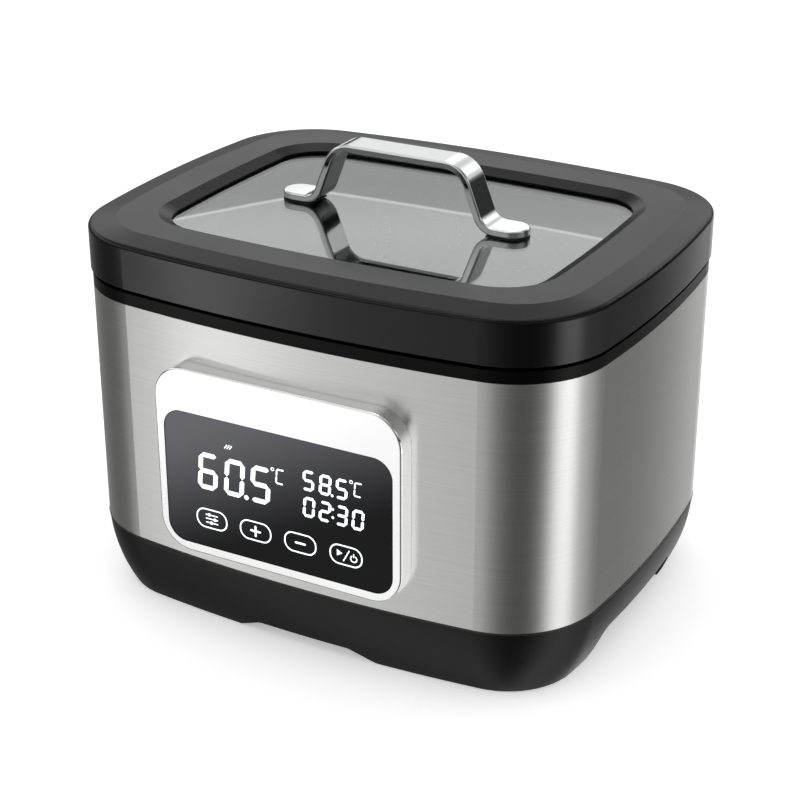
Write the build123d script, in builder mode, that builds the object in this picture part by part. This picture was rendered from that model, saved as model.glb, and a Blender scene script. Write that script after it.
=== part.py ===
"""Countertop sous vide water bath: a bowed steel box with a drawn tank, a lift-off glass lid, a control
panel on its front and a magnetically driven impeller that circulates the water.

Millimetres, +Z up, -Y is the front. The origin is on the resting surface, under the centre of the box
that holds the whole appliance. Places in Y are measured from the body's own axis, at y = body_y.
"""
import math
import os

from build123d import *

os.makedirs("parts", exist_ok=True)

# ---------------------------------------------------------------- outline of the body, seen from above
body_width = 332.0
body_depth = 265.0
front_bow = 14.5
side_bow = 12.5
corner_radius = 58.0

# Outline of the lid's window, set in from the body's outline
window_margin = 38.5
window_front_bow = 5.5
window_side_bow = 3.7
window_radius = 34.5

# ---------------------------------------------------------------- heights of the main joint lines
pad_stand = 0.8
front_arch_height = 8.5
side_arch_height = 21.0
side_tunnel_height = 8.0
shell_bottom = 46.2
shell_height = 149.0
lid_joint_height = 9.8
lid_height = 28.6
lid_edge_drop = 2.6
glass_drop = 5.0
tank_lift = 20.0
flange_lift = 8.8

# ---------------------------------------------------------------- general fits
sheet_gap = 0.2
slide_gap = 0.3
running_gap = 0.05
groove_gap = 0.6

# ---------------------------------------------------------------- base
base_draw_in = 13.4
base_curve_height = 50.4
base_wall = 2.8
base_floor = 2.5
base_rim_height = 10.0
front_arch_bottom = 92.0
front_arch_top = 60.0
side_arch_bottom = 110.0
side_arch_top = 100.0
side_arch_depth = 24.0
arch_rounding = 9.0
pad_radius = 9.0
pad_thickness = 2.2
pad_inset = 36.0
screw_angle = 13.0
screw_inset = 22.0
rod_inset = 14.0
post_radius = 5.0
vent_count = 9
vent_pitch = 9.0
vent_length = 44.0
vent_width = 3.0
vent_offset_x = 76.0

# ---------------------------------------------------------------- shell, its brackets and screws
shell_inset = 1.0
shell_thickness = 0.8
bracket_thickness = 1.5
bracket_height = 14.0
bracket_reach = 28.0
bracket_width = 40.0
bracket_lift = 3.3
base_screw_radius = 2.0
base_screw_head_radius = 3.9
base_screw_head_height = 2.6
base_screw_seat = 20.0
base_screw_end = 3.0
tie_rod_radius = 2.0
tie_rod_end_gap = 2.6
tie_nut_radius = 3.8
tie_nut_height = 3.0

# ---------------------------------------------------------------- top collar
collar_wall = 2.4
collar_band_height = 7.2
collar_skirt_depth = 12.0
collar_step = 4.6
collar_lip_depth = 6.0
collar_boss_radius = 5.0
collar_boss_depth = 18.0

# ---------------------------------------------------------------- tank
tank_inset = 26.0
tank_thickness = 0.8
tank_bottom_radius = 12.0
flange_inset = 9.5
tank_gasket_thickness = 0.4
insulation_thickness = 8.6
insulation_margin = 2.0

# ---------------------------------------------------------------- heating under the tank
plate_thickness = 4.0
plate_inset = 46.0
plate_bore = 24.0
element_radius = 58.0
element_tube_radius = 4.0
element_sweep = 320.0
terminal_radius = 1.6
terminal_length = 12.0
cutout_radius = 8.0
cutout_height = 6.0
cutout_gap = 14.0

# ---------------------------------------------------------------- drive motor
shaft_radius = 2.0
motor_radius = 19.0
motor_height = 26.0
motor_wall = 1.5
motor_bracket_length = 92.0
motor_bracket_width = 30.0
motor_post_radius = 3.0
motor_post_x = 38.0
motor_post_length = 12.0
bush_radius = 4.0
bush_length = 3.0
armature_radius = 12.0
armature_height = 14.0
magnet_radius = 18.0
magnet_height = 7.0
magnet_gap = 1.0

# ---------------------------------------------------------------- impeller
pin_radius = 2.0
pin_flange_radius = 8.0
pin_flange_height = 1.0
impeller_radius = 22.0
impeller_hub_radius = 6.0
impeller_disc_height = 6.0
impeller_blade_height = 10.0
impeller_blade_thickness = 1.6
impeller_blades = 6
clip_radius = 4.0
clip_height = 0.8
guard_radius = 32.0
guard_thickness = 1.0
guard_flange_radius = 37.0
guard_head_room = 5.0
guard_slots = 12
guard_slot_width = 5.0

# ---------------------------------------------------------------- temperature probe
probe_x = -60.0
probe_lift = 25.8
probe_radius = 3.0
probe_reach = 24.0
probe_flange_radius = 6.0
probe_flange_height = 1.2
probe_nut_radius = 6.5
probe_nut_height = 3.6

# ---------------------------------------------------------------- control panel on the front
panel_offset = -4.5
panel_width = 158.4
panel_lift = 10.2
panel_height = 115.2
panel_corner = 20.0
panel_proud = 8.2
panel_wall = 2.4
panel_plate = 2.7
panel_edge_rounding = 1.4
display_width = 147.6
display_lift = 5.8
display_height = 83.1
display_corner = 12.0
display_thickness = 2.1
display_recess = 0.6
housing_plate = 2.0
housing_wall = 2.0
module_width = 119.0
module_lift = 29.8
module_height = 45.0
module_depth = 7.2
touch_drop = 11.5
touch_first_x = -44.1
touch_pitch = 29.4
touch_sensor_radius = 3.5
control_board_thickness = 1.6
chip_size = 12.0
chip_height = 1.2
chip_pitch = 32.0
panel_bracket_margin = 10.0
panel_bracket_thickness = 1.2
panel_boss_radius = 3.2
panel_screw_radius = 1.5
panel_screw_head_radius = 2.8
panel_screw_head_height = 1.8
panel_screw_length = 7.0

# ---------------------------------------------------------------- power inlet in the back
inlet_x = -70.0
inlet_z = 27.0
inlet_flange_width = 50.0
inlet_flange_height = 24.0
inlet_flange_thickness = 1.9
inlet_body_width = 28.0
inlet_body_height = 20.4
inlet_body_depth = 22.0
inlet_socket_width = 24.4
inlet_socket_height = 16.6
inlet_socket_depth = 16.0
inlet_screw_spacing = 40.0
inlet_screw_radius = 1.6
inlet_screw_head_radius = 2.9
inlet_screw_head_height = 1.2
inlet_screw_length = 14.0
inlet_boss_margin = 3.0
inlet_face_gap = 0.1
pin_blade_width = 4.0
pin_blade_thickness = 2.0
pin_blade_spacing = 14.0
pin_blade_length = 24.0
pin_blade_rise = 2.6
pin_blade_depth = 3.0

# ---------------------------------------------------------------- power board in the base
board_side_gap = 30.0
board_y = 0.0
board_width = 72.0
board_depth = 108.0
board_thickness = 1.6
board_post_height = 8.0
board_post_radius = 4.0
board_screw_radius = 1.5
board_screw_head_radius = 2.8
board_screw_head_height = 1.8
transformer_width = 36.0
transformer_depth = 30.0
transformer_height = 22.0
relay_width = 16.0
relay_depth = 20.0
relay_height = 15.0
relay_pitch = 22.0
capacitor_radius = 6.0

# ---------------------------------------------------------------- lid
lid_wall = 3.0
lid_roof = 2.4
lid_band = 16.4
lid_edge_rounding = 2.6
lid_ridge_rounding = 1.0
window_slope = 7.4
window_lip = 1.0
glass_thickness = 4.0
glass_overlap = 4.0
gasket_web = 0.8
gasket_flange = 0.6
lid_ring_plate = 2.4
lid_seal_height = 4.8
lid_ring_inset = 6.0
lid_screw_inset = 27.0
lid_screw_front_x = 60.0
lid_screw_radius = 1.5
lid_screw_head_radius = 3.0
lid_screw_head_height = 2.0
lid_screw_grip = 5.0
lid_boss_radius = 4.0
seal_outer_inset = 11.5
seal_inner_inset = 18.5

# ---------------------------------------------------------------- lid handle
handle_width = 20.0
handle_thickness = 4.8
handle_length = 161.0
handle_tab_length = 25.5
handle_leg_run = 13.5
handle_rise = 40.4
handle_shoulder_radius = 15.0
handle_foot_radius = 11.0
handle_edge_rounding = 1.2
handle_screw_end = 10.5
handle_screw_radius = 2.5
handle_screw_head_radius = 4.5
handle_screw_head_height = 3.0
handle_screw_grip = 3.2
handle_pad_thickness = 0.6
handle_pad_margin = 3.0
handle_washer_radius = 8.0
handle_washer_thickness = 1.0

# ================================================================ places worked out from the sizes
shell_top = shell_bottom + shell_height
lid_bottom = shell_top + lid_joint_height
lid_ridge_height = lid_bottom + lid_height
lid_edge_height = lid_ridge_height - lid_edge_drop
glass_top = lid_ridge_height - glass_drop
tank_floor = shell_bottom + tank_lift
flange_top = lid_bottom + flange_lift
collar_band_top = shell_top + collar_band_height
cutout_x = element_radius + element_tube_radius + cutout_gap + cutout_radius
probe_z = tank_floor + probe_lift
panel_bottom = shell_bottom + panel_lift
panel_top = panel_bottom + panel_height
display_bottom = panel_bottom + display_lift
display_top = display_bottom + display_height
module_bottom = display_bottom + module_lift
module_top = module_bottom + module_height
touch_z = module_bottom - touch_drop
handle_top = glass_top + handle_rise
window_width = body_width - 2 * window_margin
window_depth = body_depth - 2 * window_margin
handle_foot_x = handle_length / 2 - handle_tab_length
handle_shoulder_x = handle_foot_x - handle_leg_run
handle_screw_x = handle_length / 2 - handle_screw_end
board_x = board_side_gap + board_width / 2 - body_width / 2
half_width = body_width / 2
half_depth = body_depth / 2
shell_front_y = -(half_depth - shell_inset)
panel_face_y = shell_front_y - panel_proud
body_y = (-panel_face_y - half_depth) / 2
shell_inner_inset = shell_inset + shell_thickness
tank_inner_inset = tank_inset + tank_thickness
base_floor_top = front_arch_height + base_floor
flange_bottom = flange_top - tank_thickness
collar_top = flange_bottom - tank_gasket_thickness
collar_opening_inset = tank_inset - 2 * sheet_gap
lid_ceiling = lid_edge_height - lid_roof
plate_bottom = tank_floor - tank_thickness - plate_thickness
motor_bracket_top = plate_bottom - motor_post_length
motor_top = motor_bracket_top - bracket_thickness
motor_bottom = motor_top - motor_height
glass_bottom = glass_top - glass_thickness
lid_ring_bottom = flange_top + lid_seal_height


def level(height):
    """A horizontal plane at a height, with its origin on the body's axis."""
    return Plane(origin=(0, body_y, height), x_dir=(1, 0, 0), z_dir=(0, 0, 1))


def facing_front(distance):
    """An upright plane that faces the front, at a distance in Y from the body's axis."""
    return Plane(origin=(0, body_y + distance, 0), x_dir=(1, 0, 0), z_dir=(0, -1, 0))


def facing_panel(distance):
    """An upright plane that faces the front, centred on the control panel."""
    return Plane(origin=(panel_offset, body_y + distance, 0), x_dir=(1, 0, 0), z_dir=(0, -1, 0))


def facing_back(distance):
    """An upright plane that faces the back; its own X runs the other way."""
    return Plane(origin=(0, body_y + distance, 0), x_dir=(-1, 0, 0), z_dir=(0, 1, 0))


def facing_side(distance):
    """An upright plane that faces +X, with its origin on the body's axis."""
    return Plane(origin=(distance, body_y, 0), x_dir=(0, 1, 0), z_dir=(1, 0, 0))


def corner_centre(width, depth, bow_y, bow_x, radius):
    """Centres and radii of the arcs of one bowed outline, for the quarter at +X and +Y."""
    front = ((width / 2) ** 2 + bow_y**2) / (2 * bow_y)
    side = ((depth / 2) ** 2 + bow_x**2) / (2 * bow_x)
    front_centre = Vector(0, depth / 2 - front)
    side_centre = Vector(width / 2 - side, 0)
    reach_front = front - radius
    reach_side = side - radius
    apart = side_centre - front_centre
    along = (reach_front**2 - reach_side**2 + apart.length**2) / (2 * apart.length)
    across = math.sqrt(reach_front**2 - along**2)
    ahead = apart.normalized()
    centre = front_centre + ahead * along + Vector(ahead.Y, -ahead.X) * across
    return centre, front_centre, side_centre


def bowed_outline(width, depth, bow_y, bow_x, radius, inset):
    """A rectangle with four gently bowed sides and four tangent corner arcs, drawn in by an inset."""
    centre, front_centre, side_centre = corner_centre(width, depth, bow_y, bow_x, radius)
    to_front = (centre - front_centre).normalized()
    to_side = (centre - side_centre).normalized()
    front_end = centre + to_front * (radius - inset)
    side_end = centre + to_side * (radius - inset)
    middle = centre + (to_front + to_side).normalized() * (radius - inset)
    reach_x = width / 2 - inset
    reach_y = depth / 2 - inset
    with BuildSketch() as outline:
        with BuildLine():
            for way in (1, -1):
                ThreePointArc(
                    (-front_end.X, way * front_end.Y), (0, way * reach_y), (front_end.X, way * front_end.Y)
                )
                ThreePointArc(
                    (way * side_end.X, -side_end.Y), (way * reach_x, 0), (way * side_end.X, side_end.Y)
                )
            for way_x, way_y in ((1, 1), (1, -1), (-1, -1), (-1, 1)):
                ThreePointArc(
                    (way_x * front_end.X, way_y * front_end.Y),
                    (way_x * middle.X, way_y * middle.Y),
                    (way_x * side_end.X, way_y * side_end.Y),
                )
        make_face()
    return outline.sketch


def body_outline(inset=0.0):
    """The body's outline, drawn in by an inset from the lid's side wall."""
    return bowed_outline(body_width, body_depth, front_bow, side_bow, corner_radius, inset)


def window_outline(inset=0.0):
    """The outline of the lid's window; a negative inset is wider than the window."""
    return bowed_outline(
        window_width, window_depth, window_front_bow, window_side_bow, window_radius, inset
    )


def body_block(inset, bottom, top):
    """A solid block with the body's outline."""
    with BuildPart() as block:
        with BuildSketch(level(bottom)):
            add(body_outline(inset))
        extrude(amount=top - bottom)
    return block.part


def body_ring(outer, inner, bottom, top):
    """A wall that follows the body's outline between two insets."""
    with BuildPart() as wall:
        with BuildSketch(level(bottom)):
            add(body_outline(outer))
            add(body_outline(inner), mode=Mode.SUBTRACT)
        extrude(amount=top - bottom)
    return wall.part


def window_ring(outer, inner, bottom, top):
    """A wall that follows the window's outline between two insets."""
    with BuildPart() as wall:
        with BuildSketch(level(bottom)):
            add(window_outline(outer))
            add(window_outline(inner), mode=Mode.SUBTRACT)
        extrude(amount=top - bottom)
    return wall.part


def corner_points(inset, turn=0.0):
    """The same point at the four corners, at an inset and turned about the corner arc's centre."""
    centre = corner_centre(body_width, body_depth, front_bow, side_bow, corner_radius)[0]
    angle = math.radians(45 + turn)
    reach = corner_radius - inset
    point = centre + Vector(math.cos(angle), math.sin(angle)) * reach
    return [(point.X * way_x, point.Y * way_y) for way_x in (1, -1) for way_y in (1, -1)]


def base_inset(height):
    """How far the base's side has curved in at a height: upright at the top, round towards the floor."""
    radius = (base_curve_height**2 + base_draw_in**2) / (2 * base_draw_in)
    drop = max(base_curve_height - height, 0.0)
    return shell_inset + radius - math.sqrt(radius**2 - drop**2)


def tank_cavity(bottom, top):
    """The space inside the tank, rounded at its lower edge."""
    with BuildPart() as space:
        add(body_block(tank_inner_inset, bottom, top))
        fillet(space.edges().group_by(Axis.Z)[0], tank_bottom_radius)
    return space.part


def curved_block(extra, bottom, top, steps):
    """A block with the base's curved side, drawn in by an extra inset."""
    with BuildPart() as block:
        for step in range(steps + 1):
            height = bottom + (top - bottom) * step / steps
            with BuildSketch(level(height)):
                add(body_outline(base_inset(height) + extra))
        loft()
    return block.part


def panel_rectangle(width, bottom, top, corner):
    """An upright rectangle with round corners, centred on the panel."""
    with BuildSketch() as shape:
        with Locations((0, (bottom + top) / 2)):
            RectangleRounded(width, top - bottom, corner)
    return shape.sketch


def arch_profile(bottom_width, top_width, top):
    """The opening between two feet: sloping flanks that round into a flat top."""
    flare = (bottom_width - top_width) / 2 * (top + pad_stand) / (top - pad_stand)
    foot = bottom_width / 2 + flare
    with BuildSketch() as opening:
        with BuildLine():
            Polyline((-foot, -top), (foot, -top), (top_width / 2, top), (-top_width / 2, top), close=True)
        make_face()
        fillet(opening.vertices().group_by(Axis.Y)[-1], arch_rounding)
    return opening.sketch


screw_points = corner_points(screw_inset, screw_angle)
rod_points = corner_points(rod_inset, -screw_angle)
pad_points = corner_points(pad_inset)
board_post_x = board_width / 2 - board_post_radius
board_post_y = board_depth / 2 - board_post_radius
board_posts = [
    (board_x + way_x * board_post_x, board_y + way_y * board_post_y) for way_x in (1, -1) for way_y in (1, -1)
]

# ================================================================ base and what stands it up
def side_arch_walls():
    """The inner walls of the tall arches in the two sides, kept within the base's curved wall."""
    with BuildPart() as walls:
        with BuildSketch(facing_side(half_width - side_arch_depth - base_wall)):
            add(
                arch_profile(
                    side_arch_bottom + 2 * base_wall, side_arch_top + 2 * base_wall, side_arch_height + base_wall
                )
            )
        extrude(amount=side_arch_depth + base_wall)
        mirror(about=Plane.YZ)
        add(curved_block(base_wall / 2, pad_stand, base_ledge, 4), mode=Mode.INTERSECT)
    return walls.part


base_ledge = shell_bottom - groove_gap
inlet_face_y = half_depth - inlet_flange_thickness - inlet_face_gap
inlet_boss_depth = inlet_face_y - (half_depth - inlet_body_depth - base_wall)
inlet_boss_width = inlet_flange_width + 2 * inlet_boss_margin
inlet_boss_height = inlet_flange_height + 2 * inlet_boss_margin

with BuildPart() as base:
    add(curved_block(0, pad_stand, base_ledge, 5))
    add(curved_block(base_wall, base_floor_top, base_ledge, 4), mode=Mode.SUBTRACT)
    # The rim that stands inside the shell, and the ledge that carries the shell's lower edge
    add(
        body_ring(
            shell_inner_inset + sheet_gap,
            shell_inner_inset + sheet_gap + base_wall,
            base_ledge - base_wall,
            shell_bottom + base_rim_height,
        )
    )
    add(
        body_ring(
            shell_inset + sheet_gap,
            shell_inner_inset + sheet_gap + base_wall,
            base_ledge - base_wall,
            shell_bottom,
        )
    )
    add(side_arch_walls())
    # Arches between the feet, which run right through, and the taller ones in the two sides
    with BuildSketch(facing_front(0)):
        add(arch_profile(front_arch_bottom, front_arch_top, front_arch_height))
    extrude(amount=body_depth, both=True, mode=Mode.SUBTRACT)
    with BuildSketch(facing_side(0)):
        add(arch_profile(side_arch_bottom, side_arch_top, side_tunnel_height))
    extrude(amount=body_width, both=True, mode=Mode.SUBTRACT)
    for side in (1, -1):
        with BuildSketch(facing_side(side * (half_width - side_arch_depth))):
            add(arch_profile(side_arch_bottom, side_arch_top, side_arch_height))
        extrude(amount=side * side_arch_depth, mode=Mode.SUBTRACT)
    # Posts for the base screws and for the power board
    with BuildSketch(level(base_floor_top - base_floor / 2)):
        with Locations(*screw_points):
            Circle(post_radius)
    extrude(amount=shell_bottom + bracket_lift - base_floor_top + base_floor / 2)
    with BuildSketch(level(base_floor_top - base_floor / 2)):
        with Locations(*board_posts):
            Circle(board_post_radius)
    extrude(amount=board_post_height + base_floor / 2)
    # Flat boss in the back for the power inlet
    with BuildSketch(facing_back(inlet_face_y)):
        with Locations((-inlet_x, inlet_z)):
            RectangleRounded(inlet_boss_width, inlet_boss_height, 2 * inlet_boss_margin)
    extrude(amount=-inlet_boss_depth)
    with BuildSketch(facing_back(inlet_face_y)):
        with Locations((-inlet_x, inlet_z)):
            Rectangle(inlet_body_width + 2 * sheet_gap, inlet_body_height + 2 * sheet_gap)
        with Locations(
            (-inlet_x - inlet_screw_spacing / 2, inlet_z), (-inlet_x + inlet_screw_spacing / 2, inlet_z)
        ):
            Circle(inlet_screw_radius)
    extrude(amount=-inlet_body_depth * 2, mode=Mode.SUBTRACT)
    # Screw holes, their deep seats, and seats for the rubber pads
    with BuildSketch(level(0)):
        with Locations(*screw_points):
            Circle(base_screw_radius + running_gap)
    extrude(amount=shell_top, mode=Mode.SUBTRACT)
    with BuildSketch(level(0)):
        with Locations(*screw_points):
            Circle(base_screw_head_radius + sheet_gap)
    extrude(amount=base_screw_seat, mode=Mode.SUBTRACT)
    with BuildSketch(level(0)):
        with Locations(*pad_points):
            Circle(pad_radius)
    extrude(amount=pad_thickness, mode=Mode.SUBTRACT)
    with BuildSketch(level(base_floor_top)):
        with Locations(*board_posts):
            Circle(board_screw_radius)
    extrude(amount=board_post_height, mode=Mode.SUBTRACT)
    # Air slots in the floor, beside the motor
    with BuildSketch(level(0)):
        with Locations((vent_offset_x, 0)):
            with GridLocations(vent_pitch, 1, vent_count, 1):
                SlotOverall(vent_length, vent_width, rotation=90)
    extrude(amount=base_floor_top, mode=Mode.SUBTRACT)
base.part.label = "base"
export_step(base.part, "parts/base.step")

with BuildPart() as foot_pads:
    with BuildSketch(level(0)):
        with Locations(*pad_points):
            Circle(pad_radius)
    extrude(amount=pad_thickness)
foot_pads.part.label = "foot_pads"
export_step(foot_pads.part, "parts/foot_pads.step")

# ================================================================ outer shell, its brackets and screws
bracket_bottom = shell_bottom + bracket_lift
bracket_top = bracket_bottom + bracket_thickness
bracket_step = shell_bottom + base_rim_height + sheet_gap
step_top = bracket_step + bracket_thickness
flange_height = bracket_step + bracket_height
riser_inset = shell_inner_inset + base_wall + 2 * sheet_gap
window_half_width = panel_width / 2 - panel_wall - 2 * sheet_gap

with BuildPart() as outer_shell:
    add(body_ring(shell_inset, shell_inner_inset, shell_bottom, shell_top))
    with BuildSketch(facing_panel(0)):
        add(
            panel_rectangle(
                2 * window_half_width,
                panel_bottom + panel_wall + 2 * sheet_gap,
                panel_top - panel_wall - 2 * sheet_gap,
                panel_corner - panel_wall,
            )
        )
    extrude(amount=body_depth, mode=Mode.SUBTRACT)
outer_shell.part.label = "outer_shell"
export_step(outer_shell.part, "parts/outer_shell.step")

with BuildPart() as shell_brackets:
    # A foot over the base's posts, a riser inside the base's rim, a step over the rim and a welded flange
    add(body_ring(riser_inset, shell_inner_inset + bracket_reach, bracket_bottom, bracket_top))
    add(body_ring(riser_inset, riser_inset + bracket_thickness, bracket_bottom, step_top))
    add(body_ring(shell_inner_inset, riser_inset + bracket_thickness, bracket_step, step_top))
    add(body_ring(shell_inner_inset, shell_inner_inset + bracket_thickness, bracket_step, flange_height))
    with BuildSketch(level(bracket_bottom)):
        for point_x, point_y in corner_points(rod_inset):
            with Locations(Location((point_x, point_y, 0), (0, 0, 1), math.copysign(45, point_x * point_y))):
                Rectangle(2 * bracket_reach + 4 * bracket_thickness, bracket_width)
    extrude(amount=flange_height - bracket_bottom, mode=Mode.INTERSECT)
    with BuildSketch(level(bracket_bottom)):
        with Locations(*screw_points):
            Circle(base_screw_radius)
        with Locations(*rod_points):
            Circle(tie_rod_radius + running_gap)
    extrude(amount=bracket_thickness, mode=Mode.SUBTRACT)
shell_brackets.part.label = "shell_brackets"
export_step(shell_brackets.part, "parts/shell_brackets.step")

with BuildPart() as base_screws:
    with BuildSketch(level(base_screw_seat)):
        with Locations(*screw_points):
            Circle(base_screw_head_radius)
    extrude(amount=-base_screw_head_height)
    with BuildSketch(level(base_screw_seat)):
        with Locations(*screw_points):
            Circle(base_screw_radius)
    extrude(amount=bracket_top + base_screw_end - base_screw_seat)
base_screws.part.label = "base_screws"
export_step(base_screws.part, "parts/base_screws.step")

with BuildPart() as tie_rods:
    with BuildSketch(level(bracket_bottom - tie_nut_height - tie_rod_end_gap)):
        with Locations(*rod_points):
            Circle(tie_rod_radius)
    extrude(amount=collar_top - collar_wall - bracket_bottom + tie_nut_height + tie_rod_end_gap)
tie_rods.part.label = "tie_rods"
export_step(tie_rods.part, "parts/tie_rods.step")

with BuildPart() as tie_nuts:
    with BuildSketch(level(bracket_bottom)):
        with Locations(*rod_points):
            RegularPolygon(tie_nut_radius, 6)
            Circle(tie_rod_radius, mode=Mode.SUBTRACT)
    extrude(amount=-tie_nut_height)
tie_nuts.part.label = "tie_nuts"
export_step(tie_nuts.part, "parts/tie_nuts.step")

# ================================================================ top collar, tank and insulation
with BuildPart() as top_collar:
    # Visible band, then the step inwards that the lid's wall drops over
    add(body_ring(shell_inset, collar_step, shell_top + sheet_gap, collar_band_top))
    add(body_ring(shell_inset, collar_step + collar_wall, collar_band_top - collar_wall, collar_band_top))
    add(body_ring(collar_step, collar_step + collar_wall, collar_band_top - collar_wall, collar_top))
    add(body_ring(collar_step, collar_opening_inset, collar_top - collar_wall, collar_top))
    # Skirt inside the shell, and lip around the tank
    add(
        body_ring(
            shell_inner_inset + sheet_gap,
            shell_inner_inset + sheet_gap + collar_wall,
            shell_top - collar_skirt_depth,
            collar_band_top,
        )
    )
    add(
        body_ring(
            collar_opening_inset - collar_wall,
            collar_opening_inset,
            collar_top - collar_wall - collar_lip_depth,
            collar_top,
        )
    )
    with BuildSketch(level(collar_top - collar_wall)):
        with Locations(*rod_points):
            Circle(collar_boss_radius)
    extrude(amount=-collar_boss_depth)
    with BuildSketch(level(collar_top - collar_wall)):
        with Locations(*rod_points):
            Circle(tie_rod_radius)
    extrude(amount=-collar_boss_depth, mode=Mode.SUBTRACT)
top_collar.part.label = "top_collar"
export_step(top_collar.part, "parts/top_collar.step")

with BuildPart() as tank_gasket:
    add(body_ring(flange_inset + 1, collar_opening_inset - 1, collar_top, flange_bottom))
tank_gasket.part.label = "tank_gasket"
export_step(tank_gasket.part, "parts/tank_gasket.step")

with BuildPart() as tank:
    add(body_block(tank_inset, tank_floor - tank_thickness, flange_top))
    fillet(tank.edges().group_by(Axis.Z)[0], tank_bottom_radius + tank_thickness)
    add(body_ring(flange_inset, tank_inner_inset, flange_bottom, flange_top))
    add(tank_cavity(tank_floor, flange_top), mode=Mode.SUBTRACT)
    with BuildSketch(facing_back(0)):
        with Locations((-probe_x, probe_z)):
            Circle(probe_radius + running_gap)
    extrude(amount=body_depth, mode=Mode.SUBTRACT)
tank.part.label = "tank"
export_step(tank.part, "parts/tank.step")

with BuildPart() as insulation:
    add(
        body_ring(
            tank_inset - sheet_gap - insulation_thickness,
            tank_inset - sheet_gap,
            tank_floor + tank_bottom_radius,
            collar_top - collar_wall - collar_boss_depth - insulation_margin,
        )
    )
    with BuildSketch(facing_back(0)):
        with Locations((-probe_x, probe_z)):
            Circle(probe_nut_radius + 1)
    extrude(amount=body_depth, mode=Mode.SUBTRACT)
insulation.part.label = "insulation"
export_step(insulation.part, "parts/insulation.step")

# ================================================================ heating under the tank
element_z = plate_bottom - element_tube_radius
terminal_angle = math.radians((360 - element_sweep) / 2)
terminal_x = -element_radius * math.cos(terminal_angle)
terminal_y = element_radius * math.sin(terminal_angle)
terminal_points = [(terminal_x, terminal_y), (terminal_x, -terminal_y)]

with BuildPart() as heating_plate:
    add(body_block(plate_inset, plate_bottom, plate_bottom + plate_thickness))
    with BuildSketch(level(plate_bottom)):
        Circle(plate_bore)
        with Locations((motor_post_x, 0), (-motor_post_x, 0)):
            Circle(motor_post_radius / 2)
    extrude(amount=plate_thickness, mode=Mode.SUBTRACT)
heating_plate.part.label = "heating_plate"
export_step(heating_plate.part, "parts/heating_plate.step")

with BuildPart() as heating_element:
    with BuildLine(level(element_z)) as ring_line:
        CenterArc((0, 0), element_radius, 180 + (360 - element_sweep) / 2, element_sweep)
    with BuildSketch(Plane(ring_line.line @ 0, z_dir=ring_line.line % 0)):
        Circle(element_tube_radius)
    sweep()
    with BuildSketch(level(element_z)):
        with Locations(*terminal_points):
            Circle(terminal_radius)
    extrude(amount=-terminal_length)
heating_element.part.label = "heating_element"
export_step(heating_element.part, "parts/heating_element.step")

with BuildPart() as thermal_cutout:
    with BuildSketch(level(plate_bottom)):
        with Locations((cutout_x, 0)):
            Circle(cutout_radius)
    extrude(amount=-cutout_height)
    with BuildSketch(level(plate_bottom - cutout_height)):
        with Locations((cutout_x, 0)):
            with GridLocations(cutout_radius, 1, 2, 1):
                Rectangle(terminal_radius / 2, terminal_radius * 3)
    extrude(amount=-cutout_height)
thermal_cutout.part.label = "thermal_cutout"
export_step(thermal_cutout.part, "parts/thermal_cutout.step")

# ================================================================ drive motor under the tank
with BuildPart() as motor_bracket:
    with BuildSketch(level(motor_top)):
        RectangleRounded(motor_bracket_length, motor_bracket_width, motor_bracket_width / 4)
        Circle(bush_radius + sheet_gap, mode=Mode.SUBTRACT)
        with Locations((motor_post_x, 0), (-motor_post_x, 0)):
            Circle(motor_post_radius / 2, mode=Mode.SUBTRACT)
    extrude(amount=bracket_thickness)
motor_bracket.part.label = "motor_bracket"
export_step(motor_bracket.part, "parts/motor_bracket.step")

with BuildPart() as motor_posts:
    with BuildSketch(level(motor_bracket_top)):
        with Locations((motor_post_x, 0), (-motor_post_x, 0)):
            RegularPolygon(motor_post_radius, 6)
            Circle(motor_post_radius / 2, mode=Mode.SUBTRACT)
    extrude(amount=motor_post_length)
motor_posts.part.label = "motor_posts"
export_step(motor_posts.part, "parts/motor_posts.step")

with BuildPart() as motor_screws:
    with BuildSketch(level(motor_top)):
        with Locations((motor_post_x, 0), (-motor_post_x, 0)):
            Circle(motor_post_radius)
    extrude(amount=-motor_post_radius / 2)
    with BuildSketch(level(motor_top)):
        with Locations((motor_post_x, 0), (-motor_post_x, 0)):
            Circle(motor_post_radius / 2)
    extrude(amount=plate_bottom + plate_thickness / 2 - motor_top)
motor_screws.part.label = "motor_screws"
export_step(motor_screws.part, "parts/motor_screws.step")

with BuildPart() as motor_can:
    with BuildSketch(level(motor_bottom)):
        Circle(motor_radius)
    extrude(amount=motor_height)
    fillet(motor_can.edges().group_by(Axis.Z)[0], motor_wall)
    with BuildSketch(level(motor_bottom + motor_wall)):
        Circle(motor_radius - motor_wall)
    extrude(amount=motor_height - 2 * motor_wall, mode=Mode.SUBTRACT)
    with BuildSketch(level(motor_bottom)):
        Circle(bush_radius)
    extrude(amount=motor_height, mode=Mode.SUBTRACT)
motor_can.part.label = "motor_can"
export_step(motor_can.part, "parts/motor_can.step")

with BuildPart() as motor_bushes:
    for bush_bottom in (motor_bottom, motor_top - bush_length):
        with BuildSketch(level(bush_bottom)):
            Circle(bush_radius)
            Circle(shaft_radius + running_gap, mode=Mode.SUBTRACT)
        extrude(amount=bush_length)
motor_bushes.part.label = "motor_bushes"
export_step(motor_bushes.part, "parts/motor_bushes.step")

magnet_top = tank_floor - tank_thickness - magnet_gap
armature_bottom = (motor_bottom + motor_top - armature_height) / 2

with BuildPart() as motor_shaft:
    with BuildSketch(level(motor_bottom)):
        Circle(shaft_radius)
    extrude(amount=magnet_top - motor_bottom)
motor_shaft.part.label = "motor_shaft"
export_step(motor_shaft.part, "parts/motor_shaft.step")

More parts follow.
